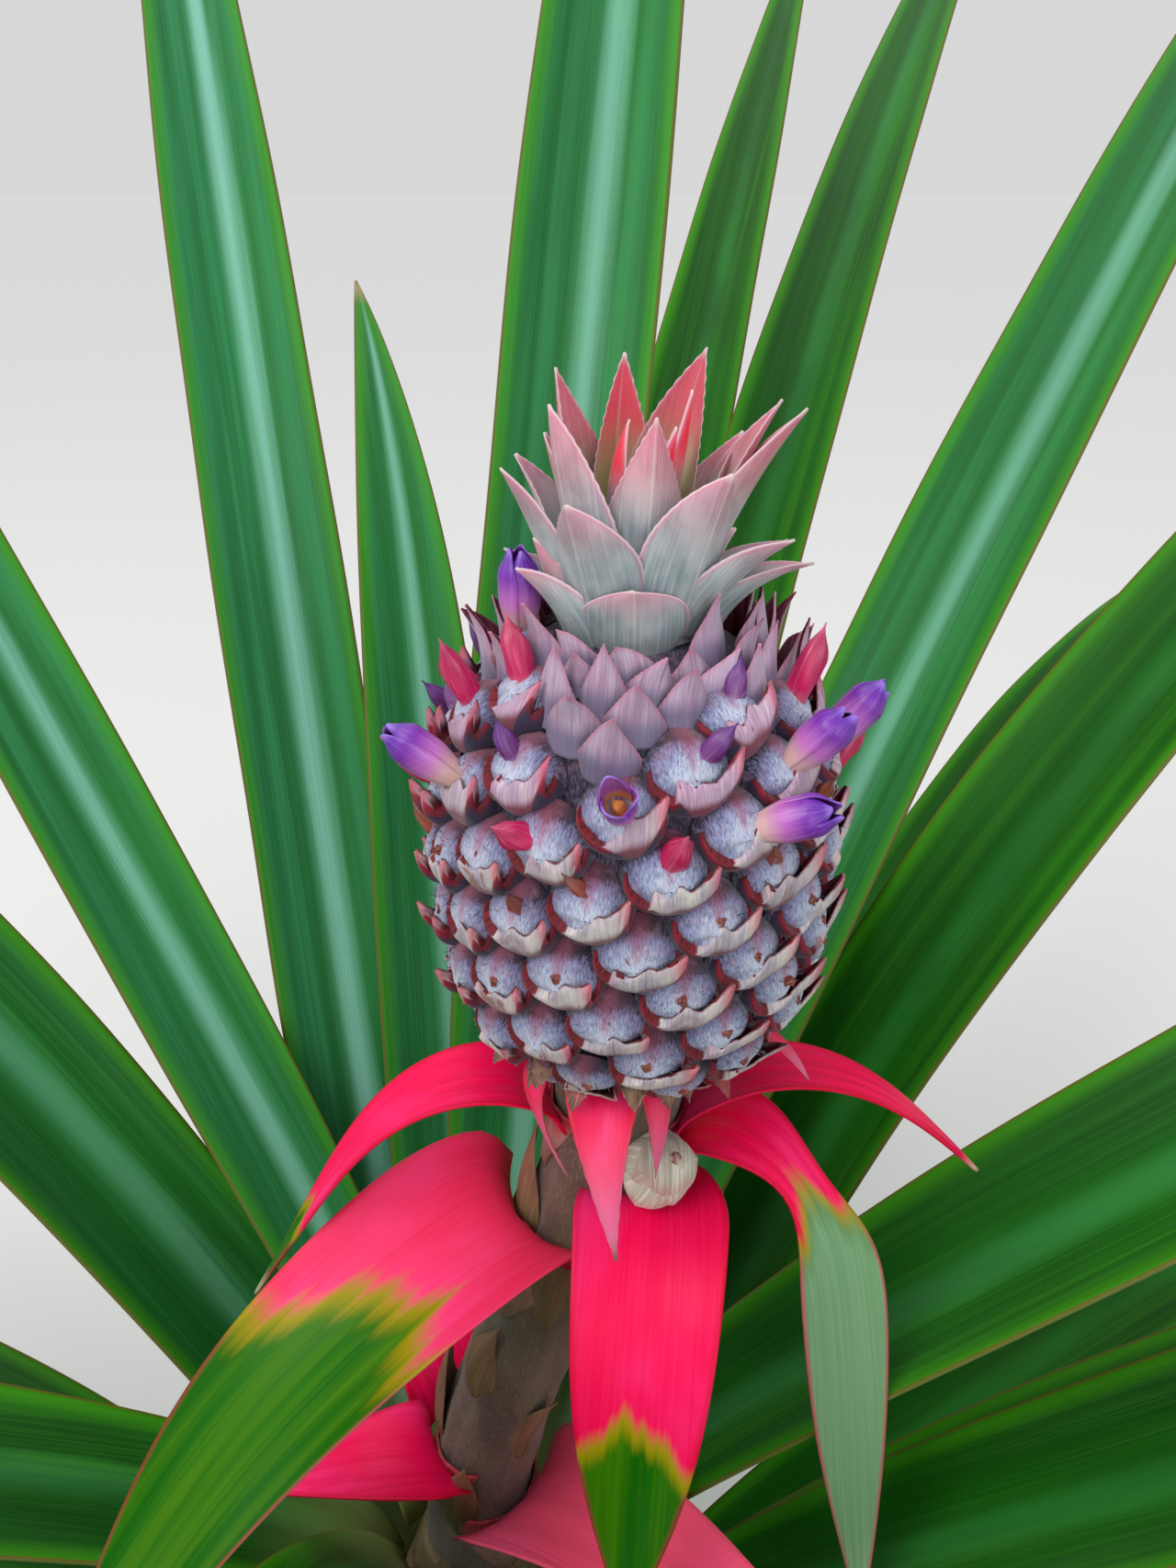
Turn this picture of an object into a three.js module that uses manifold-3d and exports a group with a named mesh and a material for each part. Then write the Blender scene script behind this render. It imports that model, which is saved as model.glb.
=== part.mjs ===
// A pineapple plant in fruit: a stout stem in a rosette of arching leaves, and a
// leaning stalk that carries a flowering fruit with its crown.
// Millimetres, +Z up. The origin is on the ground, under the middle of the stem.
import * as THREE from 'three';
import Module from 'manifold-3d';

const wasm = await Module();
wasm.setup();

// Clearance between neighbouring pieces.
const GAP = 0.3;

// Stem: height and radius from the root flare to the tip.
const STEM = [[0, 47], [6, 45], [20, 39], [45, 36], [105, 36], [135, 31], [165, 25], [190, 19], [205, 15]];
const STEM_SIDES = 20;

// Stalk from the stem's tip to the fruit, leaning towards +X.
const STALK_LOW = 205 + GAP;
const STALK_HIGH = 384;
const STALK_LEAN = 38;
const STALK_RADIUS = 12.5;
const STALK_SIDES = 16;

// Young shoot on the stalk, just under the fruit: its centre and size.
const SHOOT = { x: 45, y: -17.5, z: 358, radius: 7.5, height: 20 };

// Fruit body without the domes of its fruitlets: height above its foot, and radius.
const FRUIT_LOW = STALK_HIGH + GAP;
const FRUIT = [
  [0, 17], [3, 24], [10, 29.5], [24, 32.5], [41, 33], [56, 31.5], [68, 26.5], [76, 19], [80, 13],
];
const FRUIT_SIDES = 16;

// Fruitlets: their number, the azimuth of the lowest, the size of their domes, and how long
// the bract under each one is.
const FRUITLETS = 119;
const FRUITLET_START = 129;
const FRUITLET_RADIUS = 6.2;
const FRUITLET_DOME = 4.4;
const BRACT_LENGTH = 9.5;

// Flowers: the fruitlets that bear one, counted up the spiral from the foot, how far the
// flower stands out of its fruitlet, and the radius of its mouth.
const OPEN_FLOWERS = { on: [84, 85, 87, 88, 90, 93, 97, 113], length: 11, mouth: 3.4 };
const ROLLED_FLOWERS = { on: [71, 75, 76, 77, 82, 91, 100, 101, 102, 108], length: 13, mouth: 1.5 };
const FLOWER_NECK = 1.7;
const FLOWER_LIFT = 0.5;

// Crown of small leaves on the fruit.
const CROWN_LOW = FRUIT_LOW + 80 + GAP;
const CROWN_HEIGHT = 43;
const CROWN_RADIUS = 12;
const CROWN_LEAVES = 20;

// The golden angle, which spaces leaves, fruitlets and crown leaves.
const GOLDEN = 137.508;

// Rosette: leaf 0 is the lowest and outermost, and they climb the stem in one spiral.
const LEAVES = 36;
const LOST_LEAF = 25;
const LEAF_LOW = 48;
const LEAF_HIGH = 198;
const LEAF_START = 213;
const LEAF_STAND = 74;
const LEAF_THICK = 8;
const LEAF_CURL = 40;
const LEAF_STEPS = 12;

// Leaves that differ from the rosette's rule. Angles are in degrees, sizes in millimetres.
// turn: how far the blade leaves its slot. rise: its slope. droop and sway: how far it bends
// down and aside along the blade. sheath: the length over which it leaves the stem.
const OWN_LEAVES = {
  35: { turn: 0, rise: 65, droop: 16, sway: -3, length: 730, width: 45, twist: 0, sheath: 45 },
  34: { turn: 52, rise: 32, droop: 20, sway: 4, length: 640, width: 46, twist: 0 },
  33: { turn: 4, rise: 43, droop: 18, sway: 2, length: 760, width: 52, twist: 13, sheath: 40 },
  32: { turn: 4, rise: 44, droop: 10, sway: -4, length: 740, width: 38, twist: 3, sheath: 36 },
  31: { turn: 6, rise: 44, droop: 24, sway: -2, length: 620, width: 46, twist: 0 },
  30: { turn: -2, rise: 52, droop: 14, sway: 1, length: 740, width: 46, twist: -6, sheath: 45 },
  29: { turn: 4, rise: 25, droop: 24, sway: -1, length: 740, width: 49, twist: 1, sheath: 33 },
  28: { turn: -6, rise: 30, droop: 20, sway: -4, length: 700, width: 48, twist: 0, sheath: 32 },
  27: { turn: -6, rise: 70, droop: 46, sway: 12, length: 430, width: 38, twist: 8, sheath: 30 },
  26: { turn: 28, rise: 34, droop: 22, sway: 4, length: 690, width: 47, twist: 0 },
  24: { turn: 2, rise: 48, droop: 34, sway: 6, length: 700, width: 52, twist: -6, sheath: 55 },
  23: { turn: 2, rise: 38, droop: 24, sway: 4, length: 700, width: 46, twist: 0 },
  22: { turn: 0, rise: 55, droop: 30, sway: -5, length: 790, width: 43, twist: -20, sheath: 44 },
  21: { turn: 8, rise: 26, droop: 28, sway: 4, length: 720, width: 47, twist: 0 },
  20: { turn: 10, rise: 41, droop: 18, sway: -2, length: 720, width: 47, twist: 0 },
  19: { turn: -11, rise: 62, droop: 20, sway: -3, length: 757, width: 43, twist: 1, sheath: 42 },
  18: { turn: -6, rise: 28, droop: 22, sway: -3, length: 690, width: 46, twist: 0 },
  17: { turn: -8, rise: 66, droop: 41, sway: -15, length: 640, width: 51, twist: -1, sheath: 51 },
  16: { turn: 4, rise: 15, droop: 16, sway: 4, length: 700, width: 46, twist: 0 },
  15: { turn: 0, rise: 22, droop: 20, sway: 2, length: 700, width: 46, twist: 0 },
  14: { turn: -12, rise: 50, droop: 9, sway: -6, length: 746, width: 46, twist: -8, sheath: 43 },
};

// Leaves of the stalk, from the lowest up: height and azimuth of the foot, then as above.
// fall: the length over which such a leaf bends down by its droop. taper: the power by which it
// narrows towards its tip.
const STALK_LEAVES = [
  {
    name: 'low_front', z: 228, azimuth: 312, turn: 10, rise: 42, droop: 50, fall: 62,
    sway: -4, length: 120, width: 44, twist: 10,
  },
  {
    name: 'low_back', z: 240, azimuth: 130, rise: 30, droop: 60, fall: 50,
    sway: 8, length: 52, width: 28,
  },
  {
    name: 'low_left', z: 245, azimuth: 215, turn: -30, rise: -10, droop: 60, fall: 53,
    sway: -16, length: 56, width: 29,
  },
  {
    name: 'left', z: 324, azimuth: 228, turn: -6, rise: -6, droop: 50, fall: 70,
    sway: -24, length: 186, width: 50, twist: 8, taper: 1.9,
  },
  { name: 'back', z: 318, azimuth: 72, rise: 45, droop: 30, fall: 60, sway: -4, length: 75, width: 28 },
  {
    name: 'front', z: 334, azimuth: 306, turn: -34, rise: 10, droop: 92, fall: 36,
    sway: -8, length: 100, width: 33, sheath: 6, taper: 1.6,
  },
  {
    name: 'right', z: 343, azimuth: 357, turn: -34, rise: 37, droop: 117, fall: 34,
    sway: -10, length: 165, width: 23, twist: 60, taper: 2.4,
  },
  {
    name: 'upper_back', z: 348, azimuth: 120, rise: 16, droop: 80, fall: 50,
    sway: -6, length: 80, width: 24,
  },
  {
    name: 'upper_left', z: 360, azimuth: 196, turn: -6, rise: 17, droop: 77, fall: 33,
    sway: -3, length: 98, width: 21,
  },
  {
    name: 'upper_right', z: 357, azimuth: 352, turn: 7, rise: 24, droop: 74, fall: 38,
    sway: 2, length: 81, width: 19,
  },
];
const STALK_LEAF_THICK = 2.6;
const STALK_LEAF_CURL = 28;
const STALK_LEAF_STEPS = 8;

const rad = THREE.MathUtils.degToRad;
const { clamp, lerp, smoothstep } = THREE.MathUtils;

// Steady noise in -1..1 for item i and property k.
function vary(i, k) {
  const s = Math.sin(i * 12.9898 + k * 78.233) * 43758.5453;
  return 2 * (s - Math.floor(s)) - 1;
}

// The value at x along a list of [x, value] pairs.
function along(pairs, x) {
  let k = 1;
  while (k < pairs.length - 1 && pairs[k][0] < x) k += 1;
  const [x0, y0] = pairs[k - 1];
  const [x1, y1] = pairs[k];
  return lerp(y0, y1, clamp((x - x0) / (x1 - x0), 0, 1));
}

// A closed mesh from rings of points that run counterclockwise as seen from the last ring.
// It ends in a flat cap, or in a tip.
function solidFromRings(rings, tip) {
  const n = rings[0].length;
  const position = [];
  const index = [];
  rings.forEach((ring) => ring.forEach((p) => position.push(p.x, p.y, p.z)));
  for (let r = 0; r + 1 < rings.length; r += 1) {
    for (let k = 0; k < n; k += 1) {
      const a = r * n + k;
      const b = r * n + (k + 1) % n;
      index.push(a, b, b + n, a, b + n, a + n);
    }
  }
  const last = (rings.length - 1) * n;
  for (let k = 1; k + 1 < n; k += 1) {
    index.push(0, k + 1, k);
    if (!tip) index.push(last, last + k, last + k + 1);
  }
  if (tip) {
    position.push(tip.x, tip.y, tip.z);
    for (let k = 0; k < n; k += 1) index.push(last + k, last + (k + 1) % n, last + n);
  }
  const geometry = new THREE.BufferGeometry();
  geometry.setAttribute('position', new THREE.Float32BufferAttribute(position, 3));
  geometry.setIndex(index);
  return geometry;
}

// A level ring of the given centre, radius and number of sides.
function levelRing(x, y, z, radius, sides, start = 0) {
  return Array.from({ length: sides }, (_, k) => {
    const a = start + (2 * Math.PI * k) / sides;
    return new THREE.Vector3(x + radius * Math.cos(a), y + radius * Math.sin(a), z);
  });
}

// Solids for joining.
function toManifold(geometry) {
  return new wasm.Manifold(new wasm.Mesh({
    numProp: 3,
    vertProperties: new Float32Array(geometry.attributes.position.array),
    triVerts: new Uint32Array(geometry.index.array),
  }));
}

function fromManifold(solid) {
  const { vertProperties, triVerts } = solid.getMesh();
  const geometry = new THREE.BufferGeometry();
  geometry.setAttribute('position', new THREE.BufferAttribute(vertProperties, 3));
  geometry.setIndex(new THREE.BufferAttribute(triVerts, 1));
  return geometry;
}

function join(geometries) {
  return fromManifold(geometries.map(toManifold).reduce((whole, piece) => whole.add(piece)));
}

// How wide a blade is at t along it, as a share of its full width.
function bladeWidth(t) {
  if (t < 0.3) return 0.55 + 0.45 * Math.sin((t / 0.3) * (Math.PI / 2));
  if (t < 0.42) return 1;
  return 1 - 0.97 * ((t - 0.42) / 0.58) ** 1.9;
}

// The same for a leaf of the stalk, which is widest near its foot.
function bractWidth(t, taper) {
  return lerp(0.8, 1, smoothstep(t, 0, 0.15)) * (1 - 0.97 * t ** taper);
}

// A channelled blade with a thick middle and thin margins. It stands up from its foot along
// the stem, then leaves it to rise, droop and sway.
function blade(foot, azimuth, leaf, thick, curl, steps) {
  const rings = [];
  const at = foot.clone();
  const fine = 4;
  for (let k = 0; k <= steps * fine; k += 1) {
    const t = k / (steps * fine);
    const near = Math.exp((-t * leaf.length) / leaf.sheath);
    const bent = leaf.fall ? 1 - Math.exp(-(((t * leaf.length) / leaf.fall) ** 2)) : t ** 1.6;
    const slope = rad(leaf.rise + (LEAF_STAND - leaf.rise) * near - leaf.droop * bent);
    const turn = rad(azimuth + leaf.turn * (1 - near) + leaf.sway * t);
    const way = new THREE.Vector3(
      Math.cos(slope) * Math.cos(turn),
      Math.cos(slope) * Math.sin(turn),
      Math.sin(slope),
    );
    if (k % fine === 0) {
      const side = new THREE.Vector3(-Math.sin(turn), Math.cos(turn), 0);
      const up = new THREE.Vector3().crossVectors(way, side);
      const roll = rad(leaf.twist * t);
      const across = side.clone().multiplyScalar(Math.cos(roll)).addScaledVector(up, Math.sin(roll));
      const inward = new THREE.Vector3().crossVectors(way, across);
      const share = leaf.taper ? bractWidth(t, leaf.taper) : bladeWidth(t);
      const bend = (leaf.width * share) / 2 / curl;
      const half = (thick / 2) * lerp(0.5, 1, smoothstep(t, 0, 0.16)) * (1 - 0.86 * t ** 3);
      const point = (s, h) => at.clone()
        .addScaledVector(across, (curl - h) * Math.sin(bend * s))
        .addScaledVector(inward, curl - (curl - h) * Math.cos(bend * s));
      rings.push([
        point(1, 0), point(0.35, half), point(-0.35, half),
        point(-1, 0), point(-0.45, -half), point(0.45, -half),
      ]);
    }
    at.addScaledVector(way, leaf.length / (steps * fine));
  }
  return solidFromRings(rings);
}

// Rosette leaf i with the rule's values or its own.
function rosetteLeaf(i) {
  const u = i / (LEAVES - 1);
  return {
    turn: 0,
    rise: 14 + 50 * u + 1.5 * vary(i, 1),
    droop: 30 - 8 * u + 5 * vary(i, 2),
    sway: 7 * vary(i, 3),
    length: 590 + 150 * Math.sin(Math.PI * (0.1 + 0.7 * u)) + 30 * vary(i, 4),
    width: 46 + 3 * vary(i, 5),
    twist: 7 * vary(i, 6),
    sheath: 42,
    ...OWN_LEAVES[i],
  };
}

function leafGeometry(i) {
  const z = lerp(LEAF_LOW, LEAF_HIGH, i / (LEAVES - 1));
  const azimuth = LEAF_START - GOLDEN * i;
  const radius = along(STEM, z) + LEAF_THICK / 4 + 2 * GAP;
  const foot = new THREE.Vector3(radius * Math.cos(rad(azimuth)), radius * Math.sin(rad(azimuth)), z);
  return blade(foot, azimuth, rosetteLeaf(i), LEAF_THICK, LEAF_CURL, LEAF_STEPS);
}

// Stalk: where its axis is, and how thick it is, at a height.
function stalkX(z) {
  return STALK_LEAN * smoothstep(z, STALK_LOW, STALK_HIGH);
}

function stalkRadius(z) {
  const u = (z - STALK_LOW) / (STALK_HIGH - STALK_LOW);
  return STALK_RADIUS + 1.5 * (1 - u) ** 4 + 1.2 * u ** 6;
}

function stalkLeafGeometry(leaf) {
  const out = stalkRadius(leaf.z) + STALK_LEAF_THICK / 4 + 2.6 * GAP;
  const a = rad(leaf.azimuth);
  const foot = new THREE.Vector3(stalkX(leaf.z) + out * Math.cos(a), out * Math.sin(a), leaf.z);
  const shape = { turn: 0, twist: 0, sheath: 9, taper: 1.3, ...leaf };
  return blade(foot, leaf.azimuth, shape, STALK_LEAF_THICK, STALK_LEAF_CURL, STALK_LEAF_STEPS);
}

function stemGeometry() {
  const profile = [[0, 0], ...STEM.map(([z, r]) => [r, z]), [0, STEM[STEM.length - 1][0]]];
  return lathe(profile, STEM_SIDES);
}

// A solid of revolution about +Z from [radius, height] pairs that start and end on the axis.
function lathe(profile, sides) {
  const rings = profile.slice(1, -1).map(([r, z]) => levelRing(0, 0, z, r, sides));
  return solidFromRings(rings);
}

function stalkGeometry() {
  const rings = [];
  for (let k = 0; k <= 10; k += 1) {
    const z = lerp(STALK_LOW, STALK_HIGH, k / 10);
    rings.push(levelRing(stalkX(z), 0, z, stalkRadius(z), STALK_SIDES));
  }
  const bud = [-1, -0.6, 0, 0.55, 0.97].map((h) => {
    const radius = SHOOT.radius * Math.sqrt(Math.max(1 - h * h, 0.03));
    return levelRing(SHOOT.x, SHOOT.y, SHOOT.z + (h * SHOOT.height) / 2, radius, 9);
  });
  return join([solidFromRings(rings), solidFromRings(bud)]);
}

// Points of the fruit's surface that share its area evenly, from the foot to the top.
function fruitHeights(count) {
  const top = FRUIT[FRUIT.length - 1][0];
  const cells = 400;
  const area = [0];
  for (let k = 0; k < cells; k += 1) {
    const z0 = (top * k) / cells;
    const z1 = (top * (k + 1)) / cells;
    const r0 = along(FRUIT, z0);
    const r1 = along(FRUIT, z1);
    area.push(area[k] + (r0 + r1) * Math.hypot(r1 - r0, z1 - z0));
  }
  return Array.from({ length: count }, (_, i) => {
    const share = (area[cells] * (i + 0.5)) / count;
    const k = area.findIndex((a) => a >= share);
    return (top * (k - 0.5)) / cells;
  });
}

// The frame of fruitlet i: its place on the body, outward normal, upward tangent and side.
function fruitletFrames() {
  return fruitHeights(FRUITLETS).map((h, i) => {
    const a = rad(FRUITLET_START + GOLDEN * i);
    const flare = (along(FRUIT, h + 2) - along(FRUIT, h - 2)) / 4;
    const out = new THREE.Vector3(Math.cos(a), Math.sin(a), 0);
    const normal = new THREE.Vector3(Math.cos(a), Math.sin(a), -flare).normalize();
    const side = new THREE.Vector3(-Math.sin(a), Math.cos(a), 0);
    const rise = new THREE.Vector3().crossVectors(normal, side);
    const place = out.multiplyScalar(along(FRUIT, h)).setZ(h);
    return { place, normal, side, rise, h };
  });
}

// A fruitlet: a six-sided dome, whose lowest corner is drawn out into its pointed bract.
function fruitletGeometry({ place, normal, side, rise, h }) {
  const size = FRUITLET_RADIUS * lerp(0.82, 1, smoothstep(h, 0, 14)) * lerp(1, 0.8, smoothstep(h, 66, 80));
  const bract = h > 5 ? BRACT_LENGTH * lerp(1, 1.3, smoothstep(h, 55, 78)) : 2;
  const corner = (a, radius, up) => place.clone()
    .addScaledVector(side, radius * Math.cos(a))
    .addScaledVector(rise, radius * Math.sin(a))
    .addScaledVector(normal, up);
  const ring = (radius, up) => Array.from({ length: 6 }, (_, k) => (
    corner((Math.PI * (k + 0.5)) / 3, radius, up)
  ));
  const mouth = ring(size * 0.98, 0.8);
  mouth[4].addScaledVector(normal, bract * 0.7).addScaledVector(rise, bract * 0.25);
  return solidFromRings([ring(size * 0.8, -3), mouth], corner(0, 0, FRUITLET_DOME));
}

// A flower: a five-sided tube from its neck to its mouth.
function flowerGeometry({ place, normal, side, rise }, { length, mouth }) {
  const axis = normal.clone().addScaledVector(rise, FLOWER_LIFT).normalize();
  const up = rise.clone().addScaledVector(normal, -FLOWER_LIFT).normalize();
  const ring = (radius, out) => Array.from({ length: 5 }, (_, k) => {
    const a = (2 * Math.PI * k) / 5;
    return place.clone()
      .addScaledVector(side, radius * Math.cos(a))
      .addScaledVector(up, radius * Math.sin(a))
      .addScaledVector(axis, out);
  });
  const reach = FRUITLET_DOME + length;
  return solidFromRings([ring(FLOWER_NECK, 0), ring(FLOWER_NECK, reach * 0.6), ring(mouth, reach)]);
}

function fruitGeometry() {
  const body = lathe([[0, 0], ...FRUIT.map(([z, r]) => [r, z]), [0, 80]], FRUIT_SIDES);
  const frames = fruitletFrames();
  const inner = frames.filter(({ h }) => h > 2.5 && h < 77.3);
  const geometry = join([
    body,
    ...inner.map(fruitletGeometry),
    ...OPEN_FLOWERS.on.map((i) => flowerGeometry(frames[i], OPEN_FLOWERS)),
    ...ROLLED_FLOWERS.on.map((i) => flowerGeometry(frames[i], ROLLED_FLOWERS)),
  ]);
  geometry.translate(STALK_LEAN, 0, FRUIT_LOW);
  return geometry;
}

// A small pointed leaf of the crown, with a four-sided section.
function crownLeaf(i) {
  const u = i / (CROWN_LEAVES - 1);
  const length = lerp(24, 36, smoothstep(u, 0, 0.5)) - 8 * smoothstep(u, 0.75, 1);
  const width = lerp(19, 10, u);
  const at = new THREE.Vector3(lerp(CROWN_RADIUS - 3, 1.5, u), 0, lerp(3.5, 15, u));
  const shape = [[0.8, 1.2], [1, 1.2], [0.7, 0.9], [0.06, 0.25]];
  const rings = shape.map(([share, thick], k) => {
    const slope = rad(lerp(40, 84, u ** 0.75) + 9 * (k - 1));
    const up = new THREE.Vector3(-Math.sin(slope), 0, Math.cos(slope));
    const half = (width / 2) * share;
    const ring = [[half, half * 0.5], [0, thick], [-half, half * 0.5], [0, -thick]].map(([y, n]) => (
      at.clone().addScaledVector(up, n).setY(y)
    ));
    at.add(new THREE.Vector3(Math.cos(slope), 0, Math.sin(slope)).multiplyScalar(length / 3));
    return ring;
  });
  return solidFromRings(rings).rotateZ(rad(GOLDEN * i + 36));
}

function crownGeometry() {
  const core = lathe([[0, 0], [CROWN_RADIUS, 0], [CROWN_RADIUS, 5], [7, 14], [3.5, 24], [0, 24]], 14);
  const leaves = Array.from({ length: CROWN_LEAVES }, (_, i) => crownLeaf(i));
  const geometry = join([core, ...leaves]);
  geometry.computeBoundingBox();
  geometry.scale(1, 1, CROWN_HEIGHT / geometry.boundingBox.max.z);
  geometry.translate(STALK_LEAN, 0, CROWN_LOW);
  return geometry;
}

// Colours and finishes.
const finish = (color, roughness) => ({ color, roughness, metalness: 0 });
const BARK = finish('#7d6a4a', 0.9);
const LEAF = finish('#4f7d33', 0.5);
const YOUNG_LEAF = finish('#b0342c', 0.5);
const STALK = finish('#7f6a5d', 0.7);
const FRUIT_SKIN = finish('#8d7f8e', 0.75);
const CROWN = finish('#7f8b62', 0.6);

const plant = new THREE.Group();

function add(name, geometry, look) {
  const mesh = new THREE.Mesh(geometry, new THREE.MeshStandardMaterial(look));
  mesh.name = name;
  plant.add(mesh);
}

add('stem', stemGeometry(), BARK);
add('stalk', stalkGeometry(), STALK);
add('fruit', fruitGeometry(), FRUIT_SKIN);
add('crown', crownGeometry(), CROWN);
for (const leaf of STALK_LEAVES) {
  add(`stalk_leaf_${leaf.name}`, stalkLeafGeometry(leaf), YOUNG_LEAF);
}
for (let i = 0; i < LEAVES; i += 1) {
  if (i !== LOST_LEAF) add(`leaf_${String(i + 1).padStart(2, '0')}`, leafGeometry(i), LEAF);
}

export default plant;
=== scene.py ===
# A pineapple plant in fruit, dressed around its frame of solids: the rosette, the stalk with its
# red leaves, the flowering fruit, the crown and the stem get their finished shapes and looks.
# Sizes are in millimetres until a mesh is made, and meshes, lights and the camera are in metres.
import math
import random

import bmesh
import bpy
import numpy as np
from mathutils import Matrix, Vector


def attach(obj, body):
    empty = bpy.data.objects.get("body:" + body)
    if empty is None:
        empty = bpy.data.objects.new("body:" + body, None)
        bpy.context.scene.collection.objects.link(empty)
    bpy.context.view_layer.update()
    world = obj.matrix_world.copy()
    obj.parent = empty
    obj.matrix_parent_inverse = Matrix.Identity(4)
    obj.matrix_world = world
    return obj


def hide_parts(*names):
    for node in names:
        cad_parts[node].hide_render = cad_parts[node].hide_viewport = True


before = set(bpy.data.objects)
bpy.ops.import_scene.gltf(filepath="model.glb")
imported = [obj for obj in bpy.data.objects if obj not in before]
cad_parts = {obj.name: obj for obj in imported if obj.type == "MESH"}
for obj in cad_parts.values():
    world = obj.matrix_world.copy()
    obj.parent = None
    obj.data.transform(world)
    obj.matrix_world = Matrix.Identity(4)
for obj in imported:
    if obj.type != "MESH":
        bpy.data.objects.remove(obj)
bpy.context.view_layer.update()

MM = 0.001
GAP = 0.3
GOLDEN = 137.508
UP = np.array([0.0, 0.0, 1.0])

# Camera: a phone held over the plant, tilted down.
CAMERA_PLACE = (30.0, -180.0, 530.0)
CAMERA_TILT = 28.0
CAMERA_LENS = 26.0
CAMERA_SENSOR = 36.0

# Stem: height and radius.
STEM = [(0, 47), (6, 45), (20, 39), (45, 36), (105, 36), (135, 31), (165, 25), (190, 19), (205, 15)]
STEM_TOP = STEM[-1][0]

# Stalk, leaning towards +X, and the young shoot beside its top.
STALK_LOW = STEM_TOP + GAP
STALK_HIGH = 384.0
STALK_LEAN = 38.0
STALK_RADIUS = 12.5
SHOOT_PLACE = (45.0, -17.5, 358.0)
SHOOT_RADIUS = 7.5
SHOOT_SCALES = 13
# Dry scales that stand along the stalk.
DRY_SCALES = 11

# Fruit: where it starts, and the height and radius of the body under its fruitlets.
FRUIT_LOW = STALK_HIGH + GAP
FRUIT = [(0, 17), (3, 24), (10, 29.5), (24, 32.5), (41, 33), (56, 31.5), (68, 26.5), (76, 19), (80, 13)]
FRUIT_TOP = FRUIT[-1][0]
FRUITLETS = 119
FRUITLET_HEIGHTS = (1.5, 78.0)
WITHERED_TOP = 55.0
# Above SILK_START only fruitlets with a flower show. Above SILK_SHORT the silky bracts on the front
# are shorter.
SILK_START = 66.0
SILK_HEIGHTS = (60.5, 78.2)
SILK_SHORT = 73.5
SILK_FRONT = 268.0
FRUITLET_START = 129.0
FRUITLET_RADIUS = 6.2
FRUITLET_DOME = 4.8
FRUITLET_HAIRS = 40
SILK_BRACTS = 82
FOOT_BRACTS = 34

# Flowers, by the number of their fruitlet.
OPEN_FLOWERS = [85, 87, 88, 90, 93, 113]
FACING_FLOWER = 90
ROLLED_FLOWERS = [71, 75, 76, 77, 82, 91, 100, 101, 102, 108]
SHORT_FLOWERS = [77, 82]
BUDS = [84, 86, 92, 95, 97, 98, 106, 110]
DRIED_FLOWERS = [58, 61, 69, 80, 67, 62, 72, 65, 79]
FLOWER_LIFT = 0.5
# Flowers that lean in their own way: how far aside and how far up the fruit.
FLOWER_WAYS = {
    71: (0.1, 0.6), 75: (0.2, 0.9), 77: (0.2, 1.5), 82: (-1.0, 0.6), 85: (1.1, 0.3), 87: (-0.6, 0.4),
    88: (0.2, 0.5), 92: (-0.6, 1.1), 93: (0.5, 0.6), 95: (-0.7, 1.2), 98: (1.0, 1.3), 100: (-0.1, 0.9),
    101: (0.3, 1.0), 106: (0.5, 1.5), 108: (-0.4, 1.0), 113: (-0.1, 0.85),
}

# Crown: where it starts, and the height and radius of its core.
CROWN_LOW = FRUIT_LOW + FRUIT_TOP + GAP
CROWN_CORE = [(0, 12), (5, 12), (14, 7), (24, 3.0), (27, 0.6)]

# Rosette.
LEAVES = 36
LOST_LEAF = 25
LEAF_LOW, LEAF_HIGH = 48.0, 198.0
LEAF_START = 213.0
LEAF_STAND = 74.0
LEAF_FOOT_THICK = 8.0

# Leaves that differ from the rosette's rule: turn, rise, droop, sway, length, width, twist, sheath.
LEAF_KEYS = ("turn", "rise", "droop", "sway", "length", "width", "twist", "sheath")
OWN_LEAVES = {
    35: (0, 65, 16, -3, 730, 45, 0, 45),
    34: (52, 32, 20, 4, 640, 46, 0, 42),
    33: (4, 43, 18, 2, 760, 52, 13, 40),
    32: (4, 44, 10, -4, 740, 38, 3, 36),
    31: (6, 44, 24, -2, 620, 46, 0, 42),
    30: (-2, 52, 14, 1, 740, 46, -6, 45),
    29: (4, 25, 24, -1, 740, 49, 1, 33),
    28: (-6, 30, 20, -4, 700, 48, 0, 32),
    27: (-6, 70, 46, 12, 430, 38, 8, 30),
    26: (28, 34, 22, 4, 690, 47, 0, 42),
    24: (2, 48, 34, 6, 700, 52, -6, 55),
    23: (2, 38, 24, 4, 700, 46, 0, 42),
    22: (0, 55, 30, -5, 790, 43, -20, 44),
    21: (8, 26, 28, 4, 720, 47, 0, 42),
    20: (10, 41, 18, -2, 720, 47, 0, 42),
    19: (-11, 62, 20, -3, 757, 43, 1, 42),
    18: (-6, 28, 22, -3, 690, 46, 0, 42),
    17: (-8, 66, 41, -15, 640, 51, -1, 51),
    16: (4, 15, 16, 4, 700, 46, 0, 42),
    15: (0, 22, 20, 2, 700, 46, 0, 42),
    14: (-12, 50, 9, -6, 746, 46, -8, 43),
}
# Leaves with a blue bloom of wax, and how strong it is. The same value sets how strong the painted
# highlight is that runs along the middle of the leaf.
BLOOM_AND_HIGHLIGHT_LEAVES = {19: 1.0, 32: 0.8, 27: 0.8, 30: 0.6, 24: 0.3, 35: 0.7}
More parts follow.
